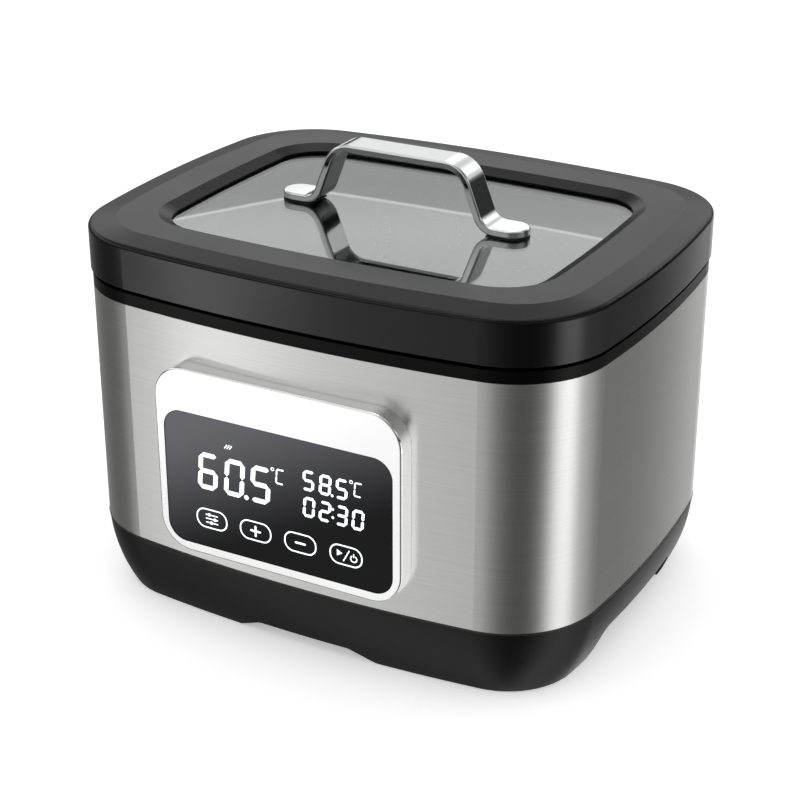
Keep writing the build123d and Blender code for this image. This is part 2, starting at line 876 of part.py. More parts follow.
with BuildPart() as motor_armature:
    with BuildSketch(level(armature_bottom)):
        Circle(armature_radius)
        Circle(shaft_radius, mode=Mode.SUBTRACT)
    extrude(amount=armature_height)
    # Winding slots round the armature
    with BuildSketch(level(armature_bottom)):
        with PolarLocations(armature_radius, 3):
            Rectangle(armature_radius / 2, shaft_radius)
    extrude(amount=armature_height, mode=Mode.SUBTRACT)
motor_armature.part.label = "motor_armature"
export_step(motor_armature.part, "parts/motor_armature.step")

with BuildPart() as drive_magnet:
    with BuildSketch(level(magnet_top)):
        Circle(magnet_radius)
        Circle(shaft_radius, mode=Mode.SUBTRACT)
    extrude(amount=-magnet_height)
    chamfer(drive_magnet.edges().filter_by(GeomType.CIRCLE).group_by(SortBy.RADIUS)[-1], 0.6)
drive_magnet.part.label = "drive_magnet"
export_step(drive_magnet.part, "parts/drive_magnet.step")

# ================================================================ impeller in the tank
impeller_bottom = tank_floor + pin_flange_height + slide_gap
impeller_top = impeller_bottom + impeller_disc_height + impeller_blade_height
clip_bottom = impeller_top + slide_gap

with BuildPart() as impeller_pin:
    with BuildSketch(level(tank_floor)):
        Circle(pin_flange_radius)
    extrude(amount=pin_flange_height)
    with BuildSketch(level(tank_floor)):
        Circle(pin_radius)
    extrude(amount=clip_bottom + 2 * clip_height - tank_floor)
impeller_pin.part.label = "impeller_pin"
export_step(impeller_pin.part, "parts/impeller_pin.step")

with BuildPart() as impeller_clip:
    with BuildSketch(level(clip_bottom)):
        Circle(clip_radius)
        Circle(pin_radius, mode=Mode.SUBTRACT)
    extrude(amount=clip_height)
impeller_clip.part.label = "impeller_clip"
export_step(impeller_clip.part, "parts/impeller_clip.step")

with BuildPart() as impeller:
    with BuildSketch(level(impeller_bottom)):
        Circle(impeller_radius)
    extrude(amount=impeller_disc_height)
    with BuildSketch(level(impeller_bottom)):
        Circle(impeller_hub_radius)
    extrude(amount=impeller_top - impeller_bottom)
    with BuildSketch(level(impeller_bottom)):
        with PolarLocations((impeller_radius + impeller_hub_radius - 1) / 2, impeller_blades):
            Rectangle(impeller_radius - impeller_hub_radius, impeller_blade_thickness)
    extrude(amount=impeller_top - impeller_bottom)
    with BuildSketch(level(impeller_bottom)):
        Circle(pin_radius + running_gap)
    extrude(amount=impeller_top - impeller_bottom, mode=Mode.SUBTRACT)
impeller.part.label = "impeller"
export_step(impeller.part, "parts/impeller.step")

guard_top = clip_bottom + 2 * clip_height + guard_head_room

with BuildPart() as impeller_guard:
    with BuildSketch(level(tank_floor)):
        Circle(guard_radius)
    extrude(amount=guard_top - tank_floor)
    fillet(impeller_guard.edges().group_by(Axis.Z)[-1], guard_slot_width / 2)
    with BuildSketch(level(tank_floor)):
        Circle(guard_flange_radius)
    extrude(amount=guard_thickness)
    with BuildSketch(level(tank_floor)):
        Circle(guard_radius - guard_thickness)
    extrude(amount=guard_top - tank_floor - guard_thickness, mode=Mode.SUBTRACT)
    # Upright slots in the wall, and round holes in the top
    with BuildSketch(level(tank_floor + 3 * guard_thickness)):
        with PolarLocations(guard_radius, guard_slots):
            Rectangle(4 * guard_thickness, guard_slot_width)
    extrude(amount=impeller_top - tank_floor - 3 * guard_thickness, mode=Mode.SUBTRACT)
    with BuildSketch(level(tank_floor + 3 * guard_thickness)):
        for hole_ring in (1, 2, 3):
            with PolarLocations(hole_ring * guard_radius / 4, 6 * hole_ring):
                Circle(guard_slot_width / 3)
    extrude(amount=guard_top - tank_floor, mode=Mode.SUBTRACT)
impeller_guard.part.label = "impeller_guard"
export_step(impeller_guard.part, "parts/impeller_guard.step")

# ================================================================ temperature probe through the back wall
wall_radius = (half_width**2 + front_bow**2) / (2 * front_bow) - tank_inset
wall_y = half_depth - tank_inset - wall_radius + math.sqrt(wall_radius**2 - probe_x**2)
probe_outer_y = wall_y + 3 * sheet_gap + probe_nut_height
probe_inner_y = wall_y - tank_thickness - 2 * sheet_gap - probe_flange_height

with BuildPart() as temperature_probe:
    with BuildSketch(facing_back(probe_outer_y + 2)):
        with Locations((-probe_x, probe_z)):
            Circle(probe_radius)
    extrude(amount=-probe_reach - probe_nut_height)
    fillet(temperature_probe.edges().group_by(Axis.Y)[0], probe_radius / 2)
    with BuildSketch(facing_back(probe_inner_y)):
        with Locations((-probe_x, probe_z)):
            Circle(probe_flange_radius)
    extrude(amount=probe_flange_height)
temperature_probe.part.label = "temperature_probe"
export_step(temperature_probe.part, "parts/temperature_probe.step")

with BuildPart() as probe_nut:
    with BuildSketch(facing_back(probe_outer_y)):
        with Locations((-probe_x, probe_z)):
            RegularPolygon(probe_nut_radius, 6)
            Circle(probe_radius, mode=Mode.SUBTRACT)
    extrude(amount=-probe_nut_height)
probe_nut.part.label = "probe_nut"
export_step(probe_nut.part, "parts/probe_nut.step")

# ================================================================ control panel on the front
panel_middle = (panel_bottom + panel_top) / 2
plate_back_y = panel_face_y + panel_plate
glass_face_y = panel_face_y + display_recess
glass_back_y = glass_face_y + display_thickness
board_front_y = glass_back_y + sheet_gap + module_depth
board_back_y = board_front_y + control_board_thickness
shell_radius = (half_width**2 + front_bow**2) / (2 * front_bow)
bracket_half_width = window_half_width + panel_bracket_margin
bracket_far_x = bracket_half_width + abs(panel_offset)
bracket_sag = shell_radius - math.sqrt((shell_radius - shell_inner_inset) ** 2 - bracket_far_x**2)
panel_bracket_y = -half_depth + bracket_sag + sheet_gap
housing_half_width = window_half_width - 2 * sheet_gap
housing_bottom = panel_bottom + panel_wall + 4 * sheet_gap
housing_top = panel_top - panel_wall - 4 * sheet_gap
housing_corner = panel_corner - panel_wall - sheet_gap
panel_boss_in = housing_corner - (housing_corner - housing_wall / 2 - panel_boss_radius) * math.sqrt(0.5)
panel_boss_x = housing_half_width - panel_boss_in
panel_boss_z = (housing_top - housing_bottom) / 2 - panel_boss_in
panel_bosses = [
    (way_x * panel_boss_x, panel_middle + way_z * panel_boss_z) for way_x in (1, -1) for way_z in (1, -1)
]
touch_places = [(touch_first_x + touch_pitch * number, touch_z) for number in range(4)]

with BuildPart() as panel_bezel:
    with BuildSketch(facing_panel(panel_face_y)):
        add(panel_rectangle(panel_width, panel_bottom, panel_top, panel_corner))
    extrude(amount=panel_face_y)
    fillet(panel_bezel.edges().group_by(Axis.Y)[0], panel_edge_rounding)
    with BuildSketch(facing_panel(plate_back_y)):
        add(
            panel_rectangle(
                panel_width - 2 * panel_wall,
                panel_bottom + panel_wall,
                panel_top - panel_wall,
                panel_corner - panel_wall,
            )
        )
    extrude(amount=plate_back_y, mode=Mode.SUBTRACT)
    with BuildSketch(facing_panel(panel_face_y)):
        add(panel_rectangle(display_width, display_bottom, display_top, display_corner))
    extrude(amount=panel_face_y, mode=Mode.SUBTRACT)
    # The back edge follows the shell
    add(body_block(shell_inset - sheet_gap / 2, 0, shell_top), mode=Mode.SUBTRACT)
panel_bezel.part.label = "panel_bezel"
export_step(panel_bezel.part, "parts/panel_bezel.step")

with BuildPart() as display_glass:
    with BuildSketch(facing_panel(glass_face_y)):
        add(
            panel_rectangle(
                display_width - 2 * sheet_gap,
                display_bottom + sheet_gap,
                display_top - sheet_gap,
                display_corner - sheet_gap,
            )
        )
    extrude(amount=-display_thickness)
display_glass.part.label = "display_glass"
export_step(display_glass.part, "parts/display_glass.step")

with BuildPart() as panel_housing:
    with BuildSketch(facing_panel(plate_back_y)):
        add(panel_rectangle(2 * housing_half_width, housing_bottom, housing_top, housing_corner))
    extrude(amount=plate_back_y - panel_bracket_y)
    with BuildSketch(facing_panel(plate_back_y + housing_plate)):
        add(
            panel_rectangle(
                2 * (housing_half_width - housing_wall),
                housing_bottom + housing_wall,
                housing_top - housing_wall,
                housing_corner - housing_wall,
            )
        )
    extrude(amount=plate_back_y, mode=Mode.SUBTRACT)
    with BuildSketch(facing_panel(plate_back_y)):
        with Locations(*panel_bosses):
            Circle(panel_boss_radius)
    extrude(amount=plate_back_y - panel_bracket_y)
    with BuildSketch(facing_panel(plate_back_y)):
        with Locations((0, module_bottom + module_height / 2)):
            Rectangle(module_width + 2 * sheet_gap, module_height + 2 * sheet_gap)
        with Locations(*touch_places):
            Circle(touch_sensor_radius + sheet_gap)
    extrude(amount=-housing_plate, mode=Mode.SUBTRACT)
    with BuildSketch(facing_panel(panel_bracket_y)):
        with Locations(*panel_bosses):
            Circle(panel_screw_radius)
    extrude(amount=panel_screw_length, mode=Mode.SUBTRACT)
    # Ribs that carry the control board
    with BuildSketch(facing_panel(board_front_y)):
        for rib_z in (module_top + 3 * housing_wall, touch_z - touch_sensor_radius - 2 * housing_wall):
            with Locations((0, rib_z)):
                Rectangle(module_width / 2, housing_wall)
    extrude(amount=board_front_y - plate_back_y - housing_plate)
panel_housing.part.label = "panel_housing"
export_step(panel_housing.part, "parts/panel_housing.step")

with BuildPart() as led_module:
    with BuildSketch(facing_panel(glass_back_y + sheet_gap)):
        with Locations((0, module_bottom + module_height / 2)):
            Rectangle(module_width, module_height)
    extrude(amount=-module_depth)
led_module.part.label = "led_module"
export_step(led_module.part, "parts/led_module.step")

with BuildPart() as touch_sensors:
    with BuildSketch(facing_panel(glass_back_y + sheet_gap)):
        with Locations(*touch_places):
            Circle(touch_sensor_radius)
            Circle(touch_sensor_radius / 2, mode=Mode.SUBTRACT)
    extrude(amount=-module_depth)
touch_sensors.part.label = "touch_sensors"
export_step(touch_sensors.part, "parts/touch_sensors.step")

with BuildPart() as control_board:
    with BuildSketch(facing_panel(board_front_y)):
        add(
            panel_rectangle(
                2 * (housing_half_width - housing_wall - sheet_gap),
                housing_bottom + housing_wall + sheet_gap,
                housing_top - housing_wall - sheet_gap,
                housing_corner - housing_wall - sheet_gap,
            )
        )
        with Locations(*panel_bosses):
            Circle(panel_boss_radius + 2 * sheet_gap, mode=Mode.SUBTRACT)
    extrude(amount=-control_board_thickness)
    # Chips, and a connector for the ribbon to the power board
    with BuildSketch(facing_panel(board_back_y)):
        with Locations((0, panel_middle)):
            with GridLocations(chip_pitch, 1, 3, 1):
                Rectangle(chip_size, chip_size)
    extrude(amount=-chip_height)
    with BuildSketch(facing_panel(board_back_y)):
        with Locations((0, module_bottom)):
            Rectangle(chip_pitch, chip_size / 2)
    extrude(amount=-3 * chip_height)
control_board.part.label = "control_board"
export_step(control_board.part, "parts/control_board.step")

with BuildPart() as panel_bracket:
    with BuildSketch(facing_panel(panel_bracket_y)):
        add(panel_rectangle(2 * bracket_half_width, bracket_step, panel_top, panel_bracket_margin))
        add(
            panel_rectangle(
                2 * (panel_boss_x - 2 * panel_boss_radius),
                panel_middle - panel_boss_z + 2 * panel_boss_radius,
                panel_middle + panel_boss_z - 2 * panel_boss_radius,
                panel_bracket_margin / 2,
            ),
            mode=Mode.SUBTRACT,
        )
        with Locations(*panel_bosses):
            Circle(panel_screw_radius + running_gap, mode=Mode.SUBTRACT)
    extrude(amount=-panel_bracket_thickness)
panel_bracket.part.label = "panel_bracket"
export_step(panel_bracket.part, "parts/panel_bracket.step")

with BuildPart() as panel_screws:
    with BuildSketch(facing_panel(panel_bracket_y + panel_bracket_thickness)):
        with Locations(*panel_bosses):
            Circle(panel_screw_head_radius)
    extrude(amount=-panel_screw_head_height)
    with BuildSketch(facing_panel(panel_bracket_y + panel_bracket_thickness)):
        with Locations(*panel_bosses):
            Circle(panel_screw_radius)
    extrude(amount=panel_screw_length)
panel_screws.part.label = "panel_screws"
export_step(panel_screws.part, "parts/panel_screws.step")

# ================================================================ power inlet in the back
inlet_front_y = inlet_face_y + inlet_flange_thickness
inlet_screw_places = [
    (-inlet_x - inlet_screw_spacing / 2, inlet_z),
    (-inlet_x + inlet_screw_spacing / 2, inlet_z),
]
pin_places = [
    (-inlet_x - pin_blade_spacing / 2, inlet_z - pin_blade_rise),
    (-inlet_x, inlet_z + pin_blade_rise),
    (-inlet_x + pin_blade_spacing / 2, inlet_z - pin_blade_rise),
]

with BuildPart() as power_inlet:
    with BuildSketch(facing_back(inlet_face_y)):
        with Locations((-inlet_x, inlet_z)):
            RectangleRounded(inlet_flange_width, inlet_flange_height, inlet_boss_margin)
    extrude(amount=inlet_flange_thickness)
    with BuildSketch(facing_back(inlet_face_y)):
        with Locations((-inlet_x, inlet_z)):
            Rectangle(inlet_body_width, inlet_body_height)
    extrude(amount=-inlet_body_depth)
    with BuildSketch(facing_back(inlet_front_y)):
        with Locations((-inlet_x, inlet_z)):
            Rectangle(inlet_socket_width, inlet_socket_height)
    extrude(amount=-inlet_socket_depth, mode=Mode.SUBTRACT)
    chamfer(power_inlet.edges().filter_by(Axis.Y).group_by(SortBy.LENGTH)[-2].sort_by(Axis.Z)[-2:], 3.0)
    with BuildSketch(facing_back(inlet_front_y)):
        with Locations(*pin_places):
            Rectangle(pin_blade_thickness, pin_blade_width)
    extrude(amount=-body_depth / 2, mode=Mode.SUBTRACT)
    with BuildSketch(facing_back(inlet_front_y)):
        with Locations(*inlet_screw_places):
            Circle(inlet_screw_radius + running_gap)
    extrude(amount=-inlet_flange_thickness, mode=Mode.SUBTRACT)
    with BuildSketch(facing_back(inlet_front_y)):
        with Locations(*inlet_screw_places):
            Circle(inlet_screw_head_radius + sheet_gap)
    extrude(amount=-inlet_screw_head_height, mode=Mode.SUBTRACT)
power_inlet.part.label = "power_inlet"
export_step(power_inlet.part, "parts/power_inlet.step")

with BuildPart() as inlet_pins:
    with BuildSketch(facing_back(inlet_front_y - pin_blade_depth)):
        with Locations(*pin_places):
            Rectangle(pin_blade_thickness, pin_blade_width)
    extrude(amount=-pin_blade_length)
inlet_pins.part.label = "inlet_pins"
export_step(inlet_pins.part, "parts/inlet_pins.step")

with BuildPart() as inlet_screws:
    with BuildSketch(facing_back(inlet_front_y)):
        with Locations(*inlet_screw_places):
            Circle(inlet_screw_head_radius)
    extrude(amount=-inlet_screw_head_height)
    with BuildSketch(facing_back(inlet_front_y)):
        with Locations(*inlet_screw_places):
            Circle(inlet_screw_radius)
    extrude(amount=-inlet_screw_length)
inlet_screws.part.label = "inlet_screws"
export_step(inlet_screws.part, "parts/inlet_screws.step")

# ================================================================ power board in the base
board_bottom = base_floor_top + board_post_height
board_top = board_bottom + board_thickness

with BuildPart() as power_board:
    with BuildSketch(level(board_bottom)):
        with Locations((board_x, board_y)):
            Rectangle(board_width, board_depth)
        with Locations(*board_posts):
            Circle(board_screw_radius + running_gap, mode=Mode.SUBTRACT)
    extrude(amount=board_thickness)
power_board.part.label = "power_board"
export_step(power_board.part, "parts/power_board.step")

with BuildPart() as board_components:
    # Transformer, two relays, and a row of capacitors
    with BuildSketch(level(board_top)):
        with Locations((board_x, board_y + board_depth / 4)):
            Rectangle(transformer_width, transformer_depth)
    extrude(amount=transformer_height)
    with BuildSketch(level(board_top)):
        with Locations((board_x, board_y - board_depth / 4)):
            with GridLocations(relay_pitch, 1, 2, 1):
                Rectangle(relay_width, relay_depth)
    extrude(amount=relay_height)
    with BuildSketch(level(board_top)):
        with Locations((board_x, board_y)):
            with GridLocations(relay_pitch, 1, 3, 1):
                Circle(capacitor_radius)
    extrude(amount=relay_height)
board_components.part.label = "board_components"
export_step(board_components.part, "parts/board_components.step")

with BuildPart() as board_screws:
    with BuildSketch(level(board_top)):
        with Locations(*board_posts):
            Circle(board_screw_head_radius)
    extrude(amount=board_screw_head_height)
    with BuildSketch(level(board_top)):
        with Locations(*board_posts):
            Circle(board_screw_radius)
    extrude(amount=-board_post_height)
board_screws.part.label = "board_screws"
export_step(board_screws.part, "parts/board_screws.step")

# ================================================================ lid
lip_height = glass_top + gasket_flange
gasket_outer = -glass_overlap - gasket_web
pocket_inset = gasket_outer - sheet_gap / 2
ring_top = lid_ring_bottom + lid_ring_plate
lid_screw_y = half_depth - lid_screw_inset - lid_screw_front_x**2 / (2 * shell_radius)
lid_screw_places = corner_points(lid_screw_inset) + [
    (half_width - lid_screw_inset, 0),
    (-half_width + lid_screw_inset, 0),
    (lid_screw_front_x, lid_screw_y),
    (-lid_screw_front_x, lid_screw_y),
    (lid_screw_front_x, -lid_screw_y),
    (-lid_screw_front_x, -lid_screw_y),
]

with BuildPart() as lid_frame:
    with BuildSketch(level(lid_edge_height)):
        add(body_outline())
    with BuildSketch(level(lid_ridge_height)):
        add(body_outline(lid_band))
    loft()
    add(body_block(0, lid_bottom, lid_edge_height))
    fillet(lid_frame.edges().group_by(Axis.Z)[-1], lid_ridge_rounding)
    fillet(lid_frame.edges().filter_by_position(Axis.Z, lid_edge_height, lid_edge_height), lid_edge_rounding)
    add(body_block(lid_wall, lid_bottom, lid_ceiling), mode=Mode.SUBTRACT)
    with BuildSketch(level(ring_top)):
        with Locations(*lid_screw_places):
            Circle(lid_boss_radius)
    extrude(amount=lid_ridge_height - lid_roof - ring_top)
    with BuildSketch(level(ring_top)):
        with Locations(*lid_screw_places):
            Circle(lid_screw_radius)
    extrude(amount=lid_screw_grip, mode=Mode.SUBTRACT)
    add(window_ring(pocket_inset, window_slope + window_lip, lid_bottom, lip_height), mode=Mode.SUBTRACT)
    # Sloping sides of the window
    with BuildSketch(level(lip_height + window_lip)):
        add(window_outline(window_slope))
    with BuildSketch(level(lid_ridge_height)):
        add(window_outline())
    loft(mode=Mode.SUBTRACT)
    with BuildSketch(level(lid_bottom)):
        add(window_outline(window_slope))
    extrude(amount=lid_ridge_height - lid_bottom, mode=Mode.SUBTRACT)
lid_frame.part.label = "lid_frame"
export_step(lid_frame.part, "parts/lid_frame.step")

with BuildPart() as glass_gasket:
    add(window_ring(gasket_outer, glass_overlap, glass_bottom - gasket_flange, lip_height))
    add(window_ring(-glass_overlap, glass_overlap, glass_bottom, glass_top), mode=Mode.SUBTRACT)
glass_gasket.part.label = "glass_gasket"
export_step(glass_gasket.part, "parts/glass_gasket.step")

with BuildPart() as lid_glass:
    with BuildSketch(level(glass_bottom)):
        add(window_outline(-glass_overlap))
        with Locations((handle_screw_x, 0), (-handle_screw_x, 0)):
            Circle(handle_screw_radius + 4 * sheet_gap, mode=Mode.SUBTRACT)
    extrude(amount=glass_thickness)
lid_glass.part.label = "lid_glass"
export_step(lid_glass.part, "parts/lid_glass.step")

with BuildPart() as lid_ring:
    with BuildSketch(level(lid_ring_bottom)):
        add(body_outline(lid_ring_inset))
        add(window_outline(window_slope - window_lip), mode=Mode.SUBTRACT)
    extrude(amount=lid_ring_plate)
    add(window_ring(gasket_outer, glass_overlap, ring_top, glass_bottom - gasket_flange))
    with BuildSketch(level(lid_ring_bottom)):
        with Locations(*lid_screw_places):
            Circle(lid_screw_radius + running_gap)
    extrude(amount=lid_ring_plate, mode=Mode.SUBTRACT)
lid_ring.part.label = "lid_ring"
export_step(lid_ring.part, "parts/lid_ring.step")

with BuildPart() as lid_ring_screws:
    with BuildSketch(level(lid_ring_bottom)):
        with Locations(*lid_screw_places):
            Circle(lid_screw_head_radius)
    extrude(amount=-lid_screw_head_height)
    with BuildSketch(level(lid_ring_bottom)):
        with Locations(*lid_screw_places):
            Circle(lid_screw_radius)
    extrude(amount=lid_ring_plate + lid_screw_grip)
lid_ring_screws.part.label = "lid_ring_screws"
export_step(lid_ring_screws.part, "parts/lid_ring_screws.step")

with BuildPart() as lid_seal:
    add(body_ring(seal_outer_inset, seal_inner_inset, flange_top, lid_ring_bottom))
lid_seal.part.label = "lid_seal"
export_step(lid_seal.part, "parts/lid_seal.step")

# ================================================================ lid handle
tab_bottom = glass_top + handle_pad_thickness
tab_middle = tab_bottom + handle_thickness / 2
strap_middle = handle_top - handle_thickness / 2
washer_bottom = glass_bottom - handle_washer_thickness

with BuildPart() as lid_handle:
    # The strap's middle line, bent at two feet and two shoulders
    with BuildSketch(facing_front(0)):
        with BuildLine() as strap_line:
            Polyline(
                (-handle_length / 2, tab_middle),
                (-handle_foot_x, tab_middle),
                (-handle_shoulder_x, strap_middle),
                (handle_shoulder_x, strap_middle),
                (handle_foot_x, tab_middle),
                (handle_length / 2, tab_middle),
            )
            fillet(strap_line.vertices().group_by(Axis.Y)[-1], handle_shoulder_radius)
            fillet(strap_line.vertices().group_by(Axis.Y)[0].sort_by(Axis.X)[1:-1], handle_foot_radius)
        trace(line_width=handle_thickness)
    extrude(amount=handle_width / 2, both=True)
    with BuildSketch(level(tab_bottom)):
        SlotOverall(handle_length, handle_width)
    extrude(amount=handle_top - tab_bottom, mode=Mode.INTERSECT)
    upper_edges = lid_handle.edges().filter_by(lambda edge: edge.center().Z > tab_bottom + sheet_gap)
    fillet(upper_edges, handle_edge_rounding)
    with BuildSketch(level(tab_bottom)):
        with Locations((handle_screw_x, 0), (-handle_screw_x, 0)):
            Circle(handle_screw_radius)
    extrude(amount=handle_screw_grip, mode=Mode.SUBTRACT)
lid_handle.part.label = "lid_handle"
export_step(lid_handle.part, "parts/lid_handle.step")

with BuildPart() as handle_pads:
    with BuildSketch(level(glass_top)):
        SlotOverall(handle_length, handle_width)
        Rectangle(2 * handle_foot_x + 2 * handle_pad_margin, handle_width, mode=Mode.SUBTRACT)
        with Locations((handle_screw_x, 0), (-handle_screw_x, 0)):
            Circle(handle_screw_radius + sheet_gap, mode=Mode.SUBTRACT)
    extrude(amount=handle_pad_thickness)
handle_pads.part.label = "handle_pads"
export_step(handle_pads.part, "parts/handle_pads.step")

with BuildPart() as handle_washers:
    with BuildSketch(level(glass_bottom)):
        with Locations((handle_screw_x, 0), (-handle_screw_x, 0)):
            Circle(handle_washer_radius)
            Circle(handle_screw_radius + sheet_gap, mode=Mode.SUBTRACT)
    extrude(amount=-handle_washer_thickness)
handle_washers.part.label = "handle_washers"
export_step(handle_washers.part, "parts/handle_washers.step")

with BuildPart() as handle_screws:
    with BuildSketch(level(washer_bottom)):
        with Locations((handle_screw_x, 0), (-handle_screw_x, 0)):
            Circle(handle_screw_head_radius)
    extrude(amount=-handle_screw_head_height)
    fillet(handle_screws.edges().group_by(Axis.Z)[0], handle_edge_rounding)
    with BuildSketch(level(washer_bottom)):
        with Locations((handle_screw_x, 0), (-handle_screw_x, 0)):
            Circle(handle_screw_radius)
    extrude(amount=tab_bottom + handle_screw_grip - washer_bottom)
handle_screws.part.label = "handle_screws"
export_step(handle_screws.part, "parts/handle_screws.step")
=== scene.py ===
"""Countertop sous vide water bath: a bowed box of brushed stainless steel on a black moulded base, a
lift-off black lid with a glass window and a chrome strap handle, and a chrome-framed touch display on
the front. The drawn tank, its impeller, its heater and its electronics show when the lid is off."""
import math

import bpy
from mathutils import Matrix, Vector


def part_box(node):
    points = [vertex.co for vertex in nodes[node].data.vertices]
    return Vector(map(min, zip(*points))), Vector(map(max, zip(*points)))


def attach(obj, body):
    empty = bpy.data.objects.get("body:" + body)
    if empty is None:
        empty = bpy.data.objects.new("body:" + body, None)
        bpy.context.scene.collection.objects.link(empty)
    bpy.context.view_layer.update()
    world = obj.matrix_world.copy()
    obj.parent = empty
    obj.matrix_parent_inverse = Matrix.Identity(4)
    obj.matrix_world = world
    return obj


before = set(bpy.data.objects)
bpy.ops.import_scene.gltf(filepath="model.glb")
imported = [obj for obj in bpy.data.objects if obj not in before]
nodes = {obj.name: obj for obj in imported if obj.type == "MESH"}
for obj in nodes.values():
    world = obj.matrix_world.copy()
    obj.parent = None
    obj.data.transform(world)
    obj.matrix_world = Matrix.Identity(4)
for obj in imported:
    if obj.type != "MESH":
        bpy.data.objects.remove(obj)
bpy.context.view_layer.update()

MM = 0.001
scene = bpy.context.scene

# ================================================================ camera
# A short telephoto view from the front and right, a little above the lid
view_azimuth = math.radians(28.6)
view_elevation = math.radians(24.7)
view_target = Vector((-0.0019, 0.0026, 0.1099))
view_distance = 1.1639
lens_length = 85.8
film_width = 36.0

camera_data = bpy.data.cameras.new("camera")
camera_data.lens = lens_length
camera_data.sensor_width = film_width
camera = bpy.data.objects.new("camera", camera_data)
scene.collection.objects.link(camera)
toward_camera = Vector((
    math.sin(view_azimuth) * math.cos(view_elevation),
    -math.cos(view_azimuth) * math.cos(view_elevation),
    math.sin(view_elevation),
))
camera.location = view_target + toward_camera * view_distance
camera.rotation_euler = (-toward_camera).to_track_quat("-Z", "Y").to_euler()
scene.camera = camera
scene.view_settings.view_transform = "Standard"


# ================================================================ shading helpers
def linear(hex_colour):
    """An sRGB hex colour as the linear colour that a shader takes."""
    channels = [int(hex_colour[start:start + 2], 16) / 255 for start in (1, 3, 5)]
    return [part / 12.92 if part <= 0.04045 else ((part + 0.055) / 1.055) ** 2.4 for part in channels] + [1.0]


def add_node(tree, kind, inputs=None, **settings):
    """Adds one node, with its settings, and with each input set to a value or linked to a socket."""
    new = tree.nodes.new("ShaderNode" + kind)
    for name, value in settings.items():
        setattr(new, name, value)
    for name, value in (inputs or {}).items():
        if isinstance(value, bpy.types.NodeSocket):
            tree.links.new(value, new.inputs[name])
        else:
            new.inputs[name].default_value = value
    return new


def start_material(name):
    """A new material with no nodes but the object's own coordinates, in metres."""
    material = bpy.data.materials.new(name)
    material.use_nodes = True
    tree = material.node_tree
    tree.nodes.clear()
    return material, tree, add_node(tree, "TexCoord").outputs["Object"]


# On a node that mixes two colours, the sockets of the two and of the result
first_colour, second_colour, mixed_colour = 6, 7, 2


# ================================================================ materials
def textured_abs(name, colour, worn_colour, side_roughness, top_roughness, shine, grain, depth):
    """Injection-moulded ABS: near black, polished on its upright walls and spark-textured on the faces
    that look up, with a fine even grain and slightly uneven gloss over a hand's width. Grain and depth
    are in mm."""
    patch, uneven_gloss = 45, 0.04
    upright_until, flat_from = 0.6, 0.95
    material, tree, place = start_material(name)
    grains = add_node(tree, "TexNoise", {"Vector": place, "Scale": 1 / (grain * MM), "Detail": 2.0})
    patches = add_node(tree, "TexNoise", {"Vector": place, "Scale": 1 / (patch * MM), "Detail": 2.0})
    tint = add_node(tree, "Mix", {
        "Factor": patches.outputs["Fac"], first_colour: linear(colour), second_colour: linear(worn_colour),
    }, data_type="RGBA")
    facing = add_node(tree, "SeparateXYZ", {"Vector": add_node(tree, "NewGeometry").outputs["Normal"]})
    texture = add_node(tree, "MapRange", {
        "Value": facing.outputs["Z"], "From Min": upright_until, "From Max": flat_from,
        "To Min": side_roughness, "To Max": top_roughness,
    })
    uneven = add_node(tree, "MapRange", {
        "Value": patches.outputs["Fac"], "To Min": -uneven_gloss, "To Max": uneven_gloss,
    })
    gloss = add_node(tree, "Math", {
        0: texture.outputs["Result"], 1: uneven.outputs["Result"],
    }, operation="ADD")
    relief = add_node(tree, "Bump", {
        "Height": grains.outputs["Fac"], "Strength": 0.35, "Distance": depth * MM,
    })
    surface = add_node(tree, "BsdfPrincipled", {
        "Base Color": tint.outputs[mixed_colour], "Roughness": gloss.outputs["Value"],
        "Normal": relief.outputs["Normal"], "IOR": 1.45, "Specular IOR Level": shine,
    })
    add_node(tree, "OutputMaterial", {"Surface": surface.outputs["BSDF"]})
    return material


def brushed_stainless():
    """304 stainless sheet, brushed along its length: long hairlines run round the body, so highlights
    smear up and down but stay narrow sideways. A hairline is drawn 0.5 mm wide so that it shows."""
    hairline_length, hairline_width = 90, 0.5
    material, tree, place = start_material("brushed_stainless_304")
    along, across = 1 / (hairline_length * MM), 1 / (hairline_width * MM)
    stretched = add_node(tree, "Mapping", {"Vector": place, "Scale": (along, along, across)})
    hairlines = add_node(tree, "TexNoise", {
        "Vector": stretched.outputs["Vector"], "Scale": 1.0, "Detail": 3.0, "Roughness": 0.6,
    })
    tint = add_node(tree, "Mix", {
        "Factor": hairlines.outputs["Fac"],
        first_colour: linear("#b7b7b6"), second_colour: linear("#d2d2d0"),
    }, data_type="RGBA")
    gloss = add_node(tree, "MapRange", {
        "Value": hairlines.outputs["Fac"], "To Min": 0.25, "To Max": 0.37,
    })
    relief = add_node(tree, "Bump", {
        "Height": hairlines.outputs["Fac"], "Strength": 0.08, "Distance": 0.02 * MM,
    })
    around = add_node(tree, "Tangent", direction_type="RADIAL", axis="Z")
    surface = add_node(tree, "BsdfPrincipled", {
        "Base Color": tint.outputs[mixed_colour], "Metallic": 1.0, "Roughness": gloss.outputs["Result"],
        "Normal": relief.outputs["Normal"], "Anisotropic": 0.75, "Anisotropic Rotation": 0.25,
        "Tangent": around.outputs["Tangent"],
    })
    add_node(tree, "OutputMaterial", {"Surface": surface.outputs["BSDF"]})
    return material


